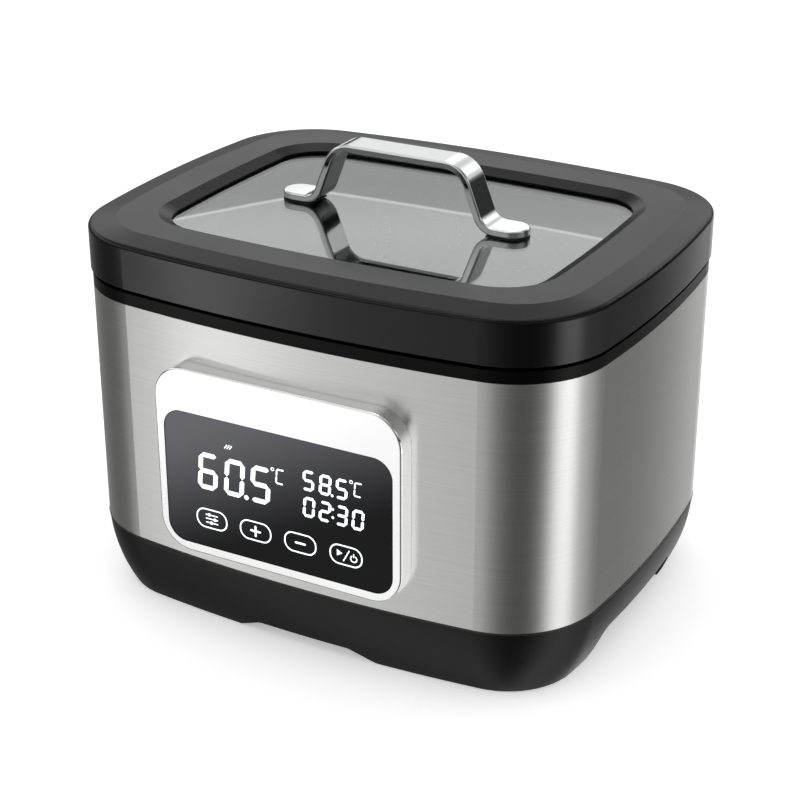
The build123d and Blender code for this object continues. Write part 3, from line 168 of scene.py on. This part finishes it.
def worked_metal(name, colour, dull_colour, roughness, spread, grain, depth=0.01):
    """A bare or plated metal with its own grain: the colour, gloss and relief vary together. Grain and
    depth are in mm."""
    smoothest = 0.02
    material, tree, place = start_material(name)
    grains = add_node(tree, "TexNoise", {"Vector": place, "Scale": 1 / (grain * MM), "Detail": 3.0})
    tint = add_node(tree, "Mix", {
        "Factor": grains.outputs["Fac"], first_colour: linear(colour), second_colour: linear(dull_colour),
    }, data_type="RGBA")
    gloss = add_node(tree, "MapRange", {
        "Value": grains.outputs["Fac"],
        "To Min": max(roughness - spread, smoothest), "To Max": roughness + spread,
    })
    relief = add_node(tree, "Bump", {
        "Height": grains.outputs["Fac"], "Strength": 0.2, "Distance": depth * MM,
    })
    surface = add_node(tree, "BsdfPrincipled", {
        "Base Color": tint.outputs[mixed_colour], "Metallic": 1.0, "Roughness": gloss.outputs["Result"],
        "Normal": relief.outputs["Normal"],
    })
    add_node(tree, "OutputMaterial", {"Surface": surface.outputs["BSDF"]})
    return material


def grained_nonmetal(name, colour, other_colour, roughness, grain, depth, ior=1.45, strength=0.4):
    """Rubber, felt, ferrite, nylon or epoxy: two mixed tones and a fine relief. Grain and depth are
    in mm."""
    spread = 0.06
    material, tree, place = start_material(name)
    grains = add_node(tree, "TexNoise", {"Vector": place, "Scale": 1 / (grain * MM), "Detail": 4.0})
    tint = add_node(tree, "Mix", {
        "Factor": grains.outputs["Fac"], first_colour: linear(colour), second_colour: linear(other_colour),
    }, data_type="RGBA")
    gloss = add_node(tree, "MapRange", {
        "Value": grains.outputs["Fac"], "To Min": roughness - spread, "To Max": roughness + spread,
    })
    relief = add_node(tree, "Bump", {
        "Height": grains.outputs["Fac"], "Strength": strength, "Distance": depth * MM,
    })
    surface = add_node(tree, "BsdfPrincipled", {
        "Base Color": tint.outputs[mixed_colour], "Roughness": gloss.outputs["Result"],
        "Normal": relief.outputs["Normal"], "IOR": ior,
    })
    add_node(tree, "OutputMaterial", {"Surface": surface.outputs["BSDF"]})
    return material


def painted_reflection_display_glass():
    """Glossy glass whose colour carries a painted reflection: greyer towards the top left and black towards
    the bottom right, while its own reflection is kept faint. The polished face is almost perfectly smooth."""
    leftward, upward = -0.65, 0.8
    painted_reflection_start, painted_reflection_full = -0.2, 0.72
    haze_width = 25
    material, tree, place = start_material("display_glass_painted_reflection")
    low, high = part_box("display_glass")
    slope_x = leftward / (high[0] - low[0])
    slope_z = upward / (high[2] - low[2])
    corner_level = slope_x * low[0] + slope_z * low[2]
    across = add_node(tree, "VectorMath", {0: place, 1: (slope_x, 0.0, slope_z)}, operation="DOT_PRODUCT")
    haze = add_node(tree, "TexNoise", {"Vector": place, "Scale": 1 / (haze_width * MM), "Detail": 1.0})
    level = add_node(tree, "MapRange", {
        "Value": across.outputs["Value"],
        "From Min": corner_level + painted_reflection_start, "From Max": corner_level + painted_reflection_full,
    }, interpolation_type="SMOOTHSTEP")
    # Painted reflection: the colour runs from black at the bottom right to grey at the top left
    tint = add_node(tree, "Mix", {
        "Factor": level.outputs["Result"],
        first_colour: linear("#09090b"), second_colour: linear("#5e5e63"),
    }, data_type="RGBA")
    gloss = add_node(tree, "MapRange", {"Value": haze.outputs["Fac"], "To Min": 0.04, "To Max": 0.09})
    surface = add_node(tree, "BsdfPrincipled", {
        "Base Color": tint.outputs[mixed_colour], "Roughness": gloss.outputs["Result"], "IOR": 1.52,
        "Specular IOR Level": 0.1,
    })
    add_node(tree, "OutputMaterial", {"Surface": surface.outputs["BSDF"]})
    return material


def lid_glass_clear():
    """Toughened glass, 4 mm thick: lightly smoked grey-green, mirror-like where it is seen at a low
    angle, with the slight unevenness that toughening leaves."""
    wave_width = 60
    material, tree, place = start_material("toughened_glass")
    waves = add_node(tree, "TexNoise", {"Vector": place, "Scale": 1 / (wave_width * MM), "Detail": 1.0})
    relief = add_node(tree, "Bump", {
        "Height": waves.outputs["Fac"], "Strength": 0.05, "Distance": 0.05 * MM,
    })
    tint = add_node(tree, "Mix", {
        "Factor": waves.outputs["Fac"],
        first_colour: linear("#b0b6b4"), second_colour: linear("#bac0bd"),
    }, data_type="RGBA")
    surface = add_node(tree, "BsdfPrincipled", {
        "Base Color": tint.outputs[mixed_colour], "Transmission Weight": 1.0, "IOR": 1.75,
        "Roughness": 0.0, "Normal": relief.outputs["Normal"],
    })
    add_node(tree, "OutputMaterial", {"Surface": surface.outputs["BSDF"]})
    return material


def lit_diffuser():
    """White segments lit from behind: bright, and a little uneven where the lamps sit behind them."""
    lamp_spacing = 3
    material, tree, place = start_material("lit_segment_diffuser")
    lamps = add_node(tree, "TexNoise", {"Vector": place, "Scale": 1 / (lamp_spacing * MM), "Detail": 1.0})
    glow = add_node(tree, "MapRange", {"Value": lamps.outputs["Fac"], "To Min": 0.72, "To Max": 0.98})
    surface = add_node(tree, "BsdfPrincipled", {
        "Base Color": linear("#e9eef2"), "Roughness": 0.4,
        "Emission Color": linear("#f2f6fa"), "Emission Strength": glow.outputs["Result"],
    })
    add_node(tree, "OutputMaterial", {"Surface": surface.outputs["BSDF"]})
    return material


# The lid's ABS: polished walls, and a spark-textured top that catches the light
lid_plastic = textured_abs(
    "lid_abs_fine_texture", "#040404", "#070707",
    side_roughness=0.21, top_roughness=0.31, shine=0.35, grain=0.5, depth=0.01,
)
# The collar's ABS: the same black, rougher, with painted shade: darker and less shiny than the lid, for the
# shadow under the lid's edge
collar_plastic_painted_shade = textured_abs(
    "collar_abs_painted_shade", "#020202", "#040404",
    side_roughness=0.3, top_roughness=0.4, shine=0.1, grain=0.5, depth=0.02,
)
# The base's ABS: matt black with a soft sheen round its curve
base_plastic = textured_abs(
    "base_abs_matt", "#070708", "#0a0a0b",
    side_roughness=0.36, top_roughness=0.5, shine=0.3, grain=0.5, depth=0.03,
)
# ABS of the inner frames: satin black, a shade greyer than the lid
inner_plastic = textured_abs(
    "inner_abs_satin", "#101011", "#161616",
    side_roughness=0.42, top_roughness=0.48, shine=0.36, grain=0.6, depth=0.02,
)
# The bead round the base's top edge: the same ABS, polished, so that it draws a thin light line
bead_plastic = textured_abs(
    "base_bead_polished", "#0a0a0b", "#0f0f10",
    side_roughness=0.18, top_roughness=0.18, shine=0.7, grain=0.8, depth=0.01,
)
# Brushed stainless of the shell: soft upright bands of light, with fine level lines in them
shell_steel = brushed_stainless()
# Polished chrome plate: a mirror with the faint haze of a buffed surface
chrome = worked_metal("bright_chrome_plate", "#eceded", "#e2e3e4", roughness=0.05, spread=0.02, grain=18)
# Satin chrome of the panel's frame: whiter and softer than the handle's
satin_chrome = worked_metal("satin_chrome_plate", "#fcfcfc", "#f4f4f5", roughness=0.13, spread=0.03, grain=18)
# Deep-drawn stainless: satin, with a soft all-over grain from the drawing press
tank_steel = worked_metal(
    "drawn_stainless_satin", "#c3c4c4", "#adaeae", roughness=0.3, spread=0.07, grain=2.5, depth=0.02,
)
# Zinc-plated steel: bluish, finely spangled
plated_steel = worked_metal("zinc_plated_steel", "#c9ccd1", "#a9adb4", roughness=0.32, spread=0.08, grain=1.5)
# Sand-cast aluminium, pale and grainy
cast_aluminium = worked_metal(
    "cast_aluminium", "#b9babb", "#9c9d9f", roughness=0.5, spread=0.1, grain=0.8, depth=0.08,
)
# The heating tube's oxidised stainless sheath, brown-grey
sheath_steel = worked_metal(
    "oxidised_sheath_steel", "#8d8780", "#6d6862", roughness=0.42, spread=0.08, grain=1.2,
)
# Oil-soaked sintered bronze, warm and porous
sintered_bronze = worked_metal(
    "sintered_bronze", "#a07a4d", "#84623c", roughness=0.45, spread=0.08, grain=0.4, depth=0.05,
)
# Nickel plate, bright and slightly warm
nickel = worked_metal("nickel_plate", "#d8d3c6", "#c6c1b4", roughness=0.18, spread=0.05, grain=3)
# Black silicone rubber, soft sheen with moulding dust
black_silicone = grained_nonmetal(
    "black_silicone_rubber", "#141414", "#1e1e1e", roughness=0.6, grain=0.7, depth=0.03,
)
# Grey food-grade silicone, slightly cloudy
grey_silicone = grained_nonmetal(
    "grey_silicone_rubber", "#8b8d8f", "#7b7d80", roughness=0.5, grain=2.0, depth=0.02, ior=1.41,
)
# Needled insulation felt, off-white and fibrous
felt = grained_nonmetal(
    "needled_felt", "#cfc8b8", "#a9a292", roughness=0.92, grain=0.9, depth=0.35, ior=1.4, strength=0.9,
)
# Fired ferrite, charcoal and slightly granular
ferrite = grained_nonmetal(
    "fired_ferrite", "#2b2b2d", "#39393b", roughness=0.55, grain=0.5, depth=0.04, ior=1.7,
)
# Natural nylon, creamy and waxy
nylon = grained_nonmetal(
    "natural_nylon", "#e4e0d2", "#d6d1c1", roughness=0.42, grain=3.0, depth=0.02, ior=1.53,
)
# Glass-epoxy board under a solder mask: clear green, with a glossy, faintly woven face
circuit_board = grained_nonmetal(
    "solder_mask_green", "#14502f", "#1a613a", roughness=0.35, grain=1.2, depth=0.02, ior=1.5,
)
# Epoxy cases of electronic components: black, with a dull, finely pitted face
epoxy_case = grained_nonmetal(
    "black_epoxy_case", "#161618", "#232326", roughness=0.45, grain=0.5, depth=0.03, ior=1.5,
)
# Glass-filled polyamide of the appliance inlet: matt black, with a trace of fibre in its face
inlet_polyamide = grained_nonmetal(
    "inlet_polyamide", "#0e0e0f", "#171718", roughness=0.48, grain=0.6, depth=0.03, ior=1.53,
)
# The display's glass, with a painted reflection in its colour
display_black = painted_reflection_display_glass()
clear_glass = lid_glass_clear()
lit_white = lit_diffuser()

finish_of_slot = {
    "moulded_black": inner_plastic,
    "brushed_stainless": shell_steel,
    "drawn_stainless": tank_steel,
    "plated_steel": plated_steel,
    "bright_chrome": chrome,
    "display_black": display_black,
    "lid_clear": clear_glass,
    "silicone_black": black_silicone,
    "silicone_grey": grey_silicone,
    "felt": felt,
    "cast_aluminium": cast_aluminium,
    "element_steel": sheath_steel,
    "ferrite": ferrite,
    "sintered_bronze": sintered_bronze,
    "nickel_plated": nickel,
    "nylon_natural": nylon,
    "circuit_laminate": circuit_board,
    "component_black": epoxy_case,
    "lit_segments": lit_white,
    "inlet_black": inlet_polyamide,
}
# Nodes whose finish differs from that of others in the same slot
finish_of_node = {
    "lid_frame": lid_plastic,
    "base": base_plastic,
    "top_collar": collar_plastic_painted_shade,
    "panel_bezel": satin_chrome,
}
for name, part in nodes.items():
    for material_slot in part.material_slots:
        slot_name = material_slot.material.name.split(".")[0]
        material_slot.material = finish_of_node.get(name, finish_of_slot[slot_name])


# ================================================================ modelling helpers
def select_only(piece):
    """Leaves one object selected and active."""
    bpy.ops.object.select_all(action="DESELECT")
    piece.select_set(True)
    bpy.context.view_layer.objects.active = piece


def copy_of(piece, place):
    """A copy with its own mesh, moved by a matrix."""
    twin = piece.copy()
    twin.data = piece.data.copy()
    twin.data.transform(place)
    scene.collection.objects.link(twin)
    return twin


def join(pieces, name):
    """Joins pieces into one named object."""
    select_only(pieces[0])
    for piece in pieces:
        piece.select_set(True)
    bpy.ops.object.join()
    joined = bpy.context.object
    joined.name = name
    return joined


# ================================================================ bead round the base's top edge
# The outer edge of the ledge under the shell's groove, made into a thin round bead
shell_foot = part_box("outer_shell")[0][2]
bead_radius, bead_steps = 0.4 * MM, 3
weld_distance = 0.002 * MM
ledge_lowest, ledge_highest = shell_foot - 1.2 * MM, shell_foot - 0.2 * MM
level_normal = 0.99

ledge = copy_of(nodes["base"], Matrix.Identity(4))
select_only(ledge)
bpy.ops.object.mode_set(mode="EDIT")
bpy.ops.mesh.select_mode(type="VERT")
bpy.ops.mesh.select_all(action="SELECT")
bpy.ops.mesh.remove_doubles(threshold=weld_distance)
bpy.ops.mesh.select_mode(type="FACE")
bpy.ops.mesh.select_all(action="DESELECT")
bpy.ops.object.mode_set(mode="OBJECT")
for face in ledge.data.polygons:
    face.select = face.normal.z > level_normal and ledge_lowest < face.center.z < ledge_highest
bpy.ops.object.mode_set(mode="EDIT")
bpy.ops.mesh.region_to_loop()
bpy.ops.mesh.select_mode(type="EDGE")
bpy.ops.mesh.duplicate()
bpy.ops.mesh.separate(type="SELECTED")
bpy.ops.object.mode_set(mode="OBJECT")
bpy.data.objects.remove(ledge)
# The ledge's edges are several closed loops, and the widest is the outer one
edge_loops = bpy.context.selected_objects[0]
select_only(edge_loops)
bpy.ops.mesh.separate(type="LOOSE")
edge_loops = sorted(bpy.context.selected_objects, key=lambda loop: loop.dimensions.x)
base_edge_bead = edge_loops.pop()
for loop in edge_loops:
    bpy.data.objects.remove(loop)
select_only(base_edge_bead)
bpy.ops.object.convert(target="CURVE")
base_edge_bead.data.bevel_depth = bead_radius
base_edge_bead.data.bevel_resolution = bead_steps
bpy.ops.object.convert(target="MESH")
bpy.ops.object.shade_smooth()
base_edge_bead = bpy.context.object
base_edge_bead.name = "base_edge_bead"
base_edge_bead.data.materials.clear()
base_edge_bead.data.materials.append(bead_plastic)
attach(base_edge_bead, "housing")

# ================================================================ lit graphics on the display
# Drawn flat, with X across from the middle of the glass and Y up from its lower edge, then stood up
# on its face
glass_low, glass_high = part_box("display_glass")
glass_middle = (glass_low[0] + glass_high[0]) / 2
glass_foot = glass_low[2]
graphic_height = 0.06 * MM
clearance = 0.01 * MM
digit_slant = math.tan(math.radians(5))
graphics = []


def raise_graphic(piece):
    """Gives a flat shape its thickness, upwards."""
    select_only(piece)
    bpy.ops.object.mode_set(mode="EDIT")
    bpy.ops.mesh.select_all(action="SELECT")
    bpy.ops.mesh.extrude_region_move(TRANSFORM_OT_translate={"value": (0, 0, graphic_height)})
    bpy.ops.object.mode_set(mode="OBJECT")


def dot(radius, sides=12):
    """A round or three-cornered spot with thickness."""
    bpy.ops.object.select_all(action="DESELECT")
    bpy.ops.mesh.primitive_circle_add(vertices=sides, radius=radius, fill_type="NGON")
    spot = bpy.context.object
    raise_graphic(spot)
    return spot


def stroke(length, width):
    """A bar along Y with pointed ends, as one segment of a display digit."""
    bpy.ops.object.select_all(action="DESELECT")
    bpy.ops.mesh.primitive_circle_add(vertices=6, radius=width / 2, fill_type="NGON")
    bar = bpy.context.object
    for vertex in bar.data.vertices:
        side = 0 if abs(vertex.co.x) < width / 10 else math.copysign(1, vertex.co.x)
        reach = length / 2 if side == 0 else length / 2 - width / 2
        vertex.co = (side * width / 2, math.copysign(reach, vertex.co.y), 0)
    raise_graphic(bar)
    return bar


def ring_shape(half_width, half_height, line, corner, sides=48, opening=0.0):
    """A ring with straight runs between round corners, open at its top where an opening is given."""
    on_axis = 1e-7
    bpy.ops.object.select_all(action="DESELECT")
    bpy.ops.mesh.primitive_circle_add(vertices=sides, radius=corner, fill_type="NGON")
    ring = bpy.context.object
    for vertex in ring.data.vertices:
        if abs(vertex.co.x) > on_axis:
            vertex.co.x += math.copysign(half_width - corner, vertex.co.x)
        if abs(vertex.co.y) > on_axis:
            vertex.co.y += math.copysign(half_height - corner, vertex.co.y)
    select_only(ring)
    bpy.ops.object.mode_set(mode="EDIT")
    bpy.ops.mesh.select_mode(type="FACE")
    bpy.ops.mesh.select_all(action="SELECT")
    bpy.ops.mesh.inset(thickness=line, depth=0)
    bpy.ops.mesh.delete(type="FACE")
    bpy.ops.object.mode_set(mode="OBJECT")
    if opening:
        for face in ring.data.polygons:
            face.select = face.center.y > 0 and abs(face.center.x) < opening
        bpy.ops.object.mode_set(mode="EDIT")
        bpy.ops.mesh.delete(type="FACE")
        bpy.ops.object.mode_set(mode="OBJECT")
    raise_graphic(ring)
    return ring


def put(master, x, y, turn=0.0, slant=0.0, foot=0.0):
    """Adds a copy of a shape to the graphics, turned in degrees, set in place, and leant over above
    its foot."""
    lean = Matrix.Identity(4)
    lean[0][1] = slant
    place = Matrix.Translation((x, y, 0)) @ Matrix.Rotation(math.radians(turn), 4, "Z")
    about = Matrix.Translation((0, foot, 0))
    graphics.append(copy_of(master, about @ lean @ about.inverted() @ place))


# The seven segments: a, g and d lie level, from the top down; f and e stand at the left, b and c at
# the right
segments_of = {
    "0": "abcdef", "2": "abged", "3": "abgcd", "5": "afgcd", "6": "afgedc", "8": "abcdefg", "C": "afed",
}


def write_digits(text, middles, foot, height, width, weight):
    """Writes slanted seven-segment digits above a foot, each at its own middle. A hairline gap parts
    the strokes where they meet."""
    gap = weight * 0.12
    upright = stroke((height - weight) / 2 - gap, weight)
    level = stroke(width - weight - gap, weight)
    right_x = (width - weight) / 2
    low_y = foot + (height - weight) / 4 + weight / 2
    high_y = foot + 3 * (height - weight) / 4 + weight / 2
    spots = {
        "a": (level, 0, foot + height - weight / 2, 90), "g": (level, 0, foot + height / 2, 90),
        "d": (level, 0, foot + weight / 2, 90), "b": (upright, right_x, high_y, 0),
        "c": (upright, right_x, low_y, 0), "e": (upright, -right_x, low_y, 0),
        "f": (upright, -right_x, high_y, 0),
    }
    for character, middle in zip(text, middles):
        for letter in segments_of[character]:
            bar, x, y, turn = spots[letter]
            put(bar, middle + x, y, turn, digit_slant, foot)
    bpy.data.objects.remove(upright)
    bpy.data.objects.remove(level)


# Height, width and stroke weight of the digits and of the C after a temperature, in mm
big_digit, big_unit = (23.2, 13.2, 2.9), (9.6, 5.6, 1.0)
small_digit, small_unit = (12.6, 7.6, 1.75), (9.0, 5.2, 0.95)
# What is written, the middles of its digits, and its foot, in mm: the bath's temperature is large;
# the set temperature and the running time are small, in two rows
for text, middles, foot, digit_size in (
    ("605", (-46.2, -28.6, -11.4), 36.8, big_digit),
    ("C", (2.2,), 51.8, big_unit),
    ("585", (20.4, 31.0, 41.4), 52.4, small_digit),
    ("C", (51.8,), 56.2, small_unit),
    ("0230", (20.4, 30.6, 41.2, 51.4), 36.0, small_digit),
):
    write_digits(text, [x * MM for x in middles], foot * MM, *[length * MM for length in digit_size])

# Decimal points, the colon and the degree rings
point = dot(1.5 * MM)
small_point = dot(0.85 * MM)
degree = ring_shape(1.15 * MM, 1.15 * MM, line=0.5 * MM, corner=1.15 * MM, sides=20)
for master, x, y in (
    (point, -20.0, 38.2), (small_point, 35.9, 53.3), (small_point, 36.1, 39.9), (small_point, 36.1, 45.0),
    (degree, -2.2, 60.3), (degree, 47.9, 64.6),
):
    put(master, x * MM, y * MM)

# Four touch keys over the sensing springs: settings, plus, minus, and start or stop
touch_low, touch_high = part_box("touch_sensors")
key_radius = (touch_high[2] - touch_low[2]) / 2
key_y = (touch_low[2] + touch_high[2]) / 2 - glass_foot
first_key = touch_low[0] + key_radius - glass_middle
key_pitch = (touch_high[0] - touch_low[0] - 2 * key_radius) / 3
outline = ring_shape(10.5 * MM, 6.3 * MM, line=0.85 * MM, corner=5.9 * MM)
for key in range(4):
    put(outline, first_key + key * key_pitch, key_y)

mark = stroke(7.4 * MM, 1.25 * MM)
thin_mark = stroke(8.6 * MM, 0.7 * MM)
slider_knob = dot(1.05 * MM)
play = dot(2.3 * MM, sides=3)
power_ring = ring_shape(2.3 * MM, 2.3 * MM, line=0.7 * MM, corner=2.3 * MM, sides=24, opening=0.8 * MM)
power_bar = stroke(2.6 * MM, 0.65 * MM)
# Each sign's strokes: the key, the place from the key's middle in mm, and the turn in degrees
settings_key, plus_key, minus_key, start_key = range(4)
for master, key, x, y, turn in (
    (mark, plus_key, 0.0, 0.0, 0), (mark, plus_key, 0.0, 0.0, 90),
    (mark, minus_key, 0.0, 0.0, 90),
    (thin_mark, settings_key, 0.0, 2.5, 90), (slider_knob, settings_key, -1.8, 2.5, 0),
    (thin_mark, settings_key, 0.0, 0.0, 90), (slider_knob, settings_key, 2.0, 0.0, 0),
    (thin_mark, settings_key, 0.0, -2.5, 90), (slider_knob, settings_key, -0.4, -2.5, 0),
    (play, start_key, -4.6, 0.9, -90), (thin_mark, start_key, 0.2, 0.0, -28),
    (power_ring, start_key, 4.9, -0.8, 0), (power_bar, start_key, 4.9, 1.2, 0),
):
    put(master, first_key + key * key_pitch + x * MM, key_y + y * MM, turn)

# Small sign that the bath is circulating: three short leaning strokes above the large digits
wave = stroke(3.4 * MM, 0.7 * MM)
wave_y = 67.0
for wave_x in (-32.6, -31.0, -29.4):
    put(wave, wave_x * MM, wave_y * MM, turn=-35)

for master in (
    point, small_point, degree, outline, mark, thin_mark, slider_knob, play, power_ring, power_bar, wave,
):
    bpy.data.objects.remove(master)
lit_display = join(graphics, "lit_display")
stood_up = Matrix.Rotation(math.radians(90), 4, "X")
on_the_glass = Matrix.Translation((glass_middle, glass_low[1] - clearance, glass_foot))
lit_display.data.transform(on_the_glass @ stood_up)
lit_display.data.materials.clear()
lit_display.data.materials.append(lit_white)
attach(lit_display, "housing")

# ================================================================ floor
# A pale laminate top, matt and very faintly mottled; it glows a little, so that it stays white
floor_size, mottle = 14.0, 400
floor_material, floor_tree, floor_place = start_material("pale_table")
floor_grain = add_node(floor_tree, "TexNoise", {"Vector": floor_place, "Scale": 1 / (mottle * MM)})
floor_gloss = add_node(floor_tree, "MapRange", {
    "Value": floor_grain.outputs["Fac"], "To Min": 0.75, "To Max": 0.85,
})
floor_surface = add_node(floor_tree, "BsdfPrincipled", {
    "Base Color": linear("#f4f4f4"), "Roughness": floor_gloss.outputs["Result"],
    "Specular IOR Level": 0.1, "Emission Color": linear("#ffffff"), "Emission Strength": 0.35,
})
add_node(floor_tree, "OutputMaterial", {"Surface": floor_surface.outputs["BSDF"]})
bpy.ops.object.select_all(action="DESELECT")
bpy.ops.mesh.primitive_plane_add(size=floor_size)
floor = bpy.context.object
floor.name = "floor"
floor.data.materials.append(floor_material)
floor.visible_glossy = False

# ================================================================ light
# An even white room lights the object, and its gloss shows a studio of greys. Below the horizon
# stand bright and dark uprights, which show as soft vertical bands in the steel; above it are a soft
# box behind the body, a dark gap and a bright roof. Bearings are 0 in front and 90 at the right.
studio = bpy.data.worlds.new("studio")
scene.world = studio
studio.use_nodes = True
sky = studio.node_tree
sky.nodes.clear()
look = add_node(sky, "SeparateXYZ", {"Vector": add_node(sky, "TexCoord").outputs["Generated"]})
forwards = add_node(sky, "Math", {0: look.outputs["Y"], 1: -1.0}, operation="MULTIPLY").outputs[0]
bearing = add_node(sky, "Math", {0: look.outputs["X"], 1: forwards}, operation="ARCTAN2").outputs[0]
height = add_node(sky, "Math", {0: look.outputs["Z"]}, operation="ARCSINE").outputs[0]
round_share = add_node(sky, "Math", {
    0: bearing, 1: 1 / math.tau, 2: 0.5,
}, operation="MULTIPLY_ADD").outputs[0]
height_share = add_node(sky, "Math", {
    0: look.outputs["Z"], 1: 0.5, 2: 0.5,
}, operation="MULTIPLY_ADD").outputs[0]


def round_stop(degrees):
    """Where a bearing lies on a ramp that runs right round, from -180 to 180 degrees."""
    return (degrees + 180) / 360


def height_stop(degrees):
    """Where an elevation lies on a ramp that runs evenly by its sine, from straight down to up."""
    return math.sin(math.radians(degrees)) / 2 + 0.5


# Each ramp: what it reads, where its stops lie on it, and its stops as degrees and a grey level
studio_ramps = {
    "low walls": (round_share, round_stop, (
        (-180, 0.60), (-150, 0.50), (-134, 0.20), (-93, 0.09), (-68, 0.10), (-60, 0.18), (-54, 0.21),
        (-49, 0.34), (-43, 0.47), (-34, 0.56), (-24, 0.60), (-17, 0.52), (-12, 0.42), (-6, 0.38),
        (0, 0.29), (8, 0.18), (20, 0.09), (32, 0.05), (48, 0.05), (62, 0.14), (76, 0.62), (92, 0.78),
        (106, 0.52), (128, 0.30), (145, 0.13), (154, 0.13), (163, 0.26), (172, 0.46), (180, 0.60),
    )),
    "high walls": (round_share, round_stop, (
        (-180, 0.90), (-168, 1.0), (-136, 1.0), (-118, 0.60), (-60, 0.80), (-35, 1.0), (-15, 0.9),
        (8, 0.32), (50, 0.32), (75, 0.50), (95, 0.60), (120, 0.15), (138, 0.15), (148, 0.70),
        (158, 1.0), (180, 0.90),
    )),
    "strip sides": (round_share, round_stop, (
        (-180, 0.0), (-53, 0.0), (-45, 0.7), (-40, 1.0), (-28, 0.0), (68, 0.0), (82, 0.8), (94, 0.8),
        (106, 0.0), (180, 0.0),
    )),
    "strip height": (height_share, height_stop, (
        (-90, 0.0), (-24.5, 0.0), (-23, 1.0), (-18, 1.0), (-16, 0.0), (90, 0.0),
    )),
    "roof height": (height_share, height_stop, (
        (-90, 0.25), (-2, 0.02), (6, 0.03), (10, 0.2), (13, 0.5), (18.4, 0.57), (19.6, 0.70),
        (28, 0.66), (32, 0.32), (38, 0.14), (46, 0.16), (58, 0.55), (90, 0.85),
    )),
}
grey = {}
for name, (share, stop_place, stops) in studio_ramps.items():
    ramp = add_node(sky, "ValToRGB", {"Fac": share})
    elements = ramp.color_ramp.elements
    while len(elements) > 1:
        elements.remove(elements[-1])
    for number, (degrees, level) in enumerate(stops):
        place = stop_place(degrees)
        element = elements[0] if number == 0 else elements.new(place)
        element.position = place
        element.color = (level, level, level, 1)
    grey[name] = ramp.outputs["Color"]

# The bright seam where the roof meets the two walls behind: it rises from their corner both ways,
# and the roof above it is brighter than the walls
corner_bearing, corner_reach = math.radians(-149), math.radians(14)
seam_foot, seam_slope = math.radians(18.45), 0.15
seam_core, seam_edge, seam_level = math.radians(0.01), math.radians(0.06), 0.45
roof_edge, roof_gain = math.radians(0.03), 1.35
past_corner = add_node(sky, "Math", {0: bearing, 1: corner_bearing}, operation="SUBTRACT").outputs[0]
from_corner = add_node(sky, "Math", {0: past_corner}, operation="ABSOLUTE").outputs[0]
run = add_node(sky, "Math", {0: from_corner, 1: corner_reach}, operation="MINIMUM").outputs[0]
seam_height = add_node(sky, "Math", {
    0: run, 1: seam_slope, 2: seam_foot,
}, operation="MULTIPLY_ADD").outputs[0]
above_seam = add_node(sky, "Math", {0: height, 1: seam_height}, operation="SUBTRACT").outputs[0]
off_seam = add_node(sky, "Math", {0: above_seam}, operation="ABSOLUTE").outputs[0]
seam = add_node(sky, "MapRange", {
    "Value": off_seam, "From Min": seam_core, "From Max": seam_edge, "To Min": seam_level, "To Max": 0.0,
}).outputs["Result"]
roof = add_node(sky, "MapRange", {
    "Value": above_seam, "From Min": -roof_edge, "From Max": roof_edge, "To Min": 1.0, "To Max": roof_gain,
}).outputs["Result"]
roof_grey = add_node(sky, "Math", {
    0: grey["high walls"], 1: grey["roof height"],
}, operation="MULTIPLY").outputs[0]
roof_light = add_node(sky, "Math", {0: roof_grey, 1: roof}, operation="MULTIPLY").outputs[0]
high_light = add_node(sky, "Math", {0: roof_light, 1: seam}, operation="ADD").outputs[0]

# A black flag just under the horizon, behind and to the right: the dark patch in a chrome leg
flag_bearing, flag_level = math.radians(143), 0.15
flag_inner, flag_outer = math.radians(16), math.radians(24)
flag_bottom, flag_top = math.radians(-15), math.radians(-9)
past_flag = add_node(sky, "Math", {0: bearing, 1: flag_bearing}, operation="SUBTRACT").outputs[0]
from_flag = add_node(sky, "Math", {0: past_flag}, operation="ABSOLUTE").outputs[0]
beside_flag = add_node(sky, "MapRange", {
    "Value": from_flag, "From Min": flag_inner, "From Max": flag_outer, "To Min": flag_level, "To Max": 1.0,
}).outputs["Result"]
below_flag = add_node(sky, "MapRange", {
    "Value": height, "From Min": flag_bottom, "From Max": flag_top, "To Min": 1.0, "To Max": flag_level,
}).outputs["Result"]
flag = add_node(sky, "Math", {0: beside_flag, 1: below_flag}, operation="MAXIMUM").outputs[0]
flagged = add_node(sky, "Math", {0: grey["low walls"], 1: flag}, operation="MULTIPLY").outputs[0]

# Two bright strips low down, which show as soft light patches on the lid's polished walls
strip_gain = 2.3
strip = add_node(sky, "Math", {
    0: grey["strip sides"], 1: grey["strip height"],
}, operation="MULTIPLY").outputs[0]
strong_strip = add_node(sky, "Math", {0: strip, 1: strip_gain}, operation="MULTIPLY").outputs[0]
low_light = add_node(sky, "Math", {0: flagged, 1: strong_strip}, operation="ADD").outputs[0]

# What a mirror shows of another mirror, below the horizon, is the white tent itself
tent_level = 0.9
second_bounce = 1.5
horizon_blend = 0.05
seen = add_node(sky, "LightPath")
first_look = add_node(sky, "Math", {
    0: seen.outputs["Glossy Depth"], 1: second_bounce,
}, operation="LESS_THAN").outputs[0]
tent = add_node(sky, "Mix", {
    "Factor": first_look, "A": tent_level, "B": low_light,
}, data_type="FLOAT").outputs["Result"]
upward = add_node(sky, "MapRange", {
    "Value": look.outputs["Z"], "From Min": -horizon_blend, "From Max": horizon_blend,
}, interpolation_type="SMOOTHSTEP").outputs["Result"]
all_round = add_node(sky, "Mix", {
    "Factor": upward, "A": tent, "B": high_light,
}, data_type="FLOAT").outputs["Result"]
studio_strength, room_strength = 1.7, 1.05
lit_studio = add_node(sky, "Background", {"Color": all_round, "Strength": studio_strength})
white_room = add_node(sky, "Background", {"Color": (1, 1, 1, 1), "Strength": room_strength})
glossy_or_not = add_node(sky, "MixShader", {
    0: seen.outputs["Is Glossy Ray"], 1: white_room.outputs[0], 2: lit_studio.outputs[0],
})
add_node(sky, "OutputWorld", {"Surface": glossy_or_not.outputs[0]})
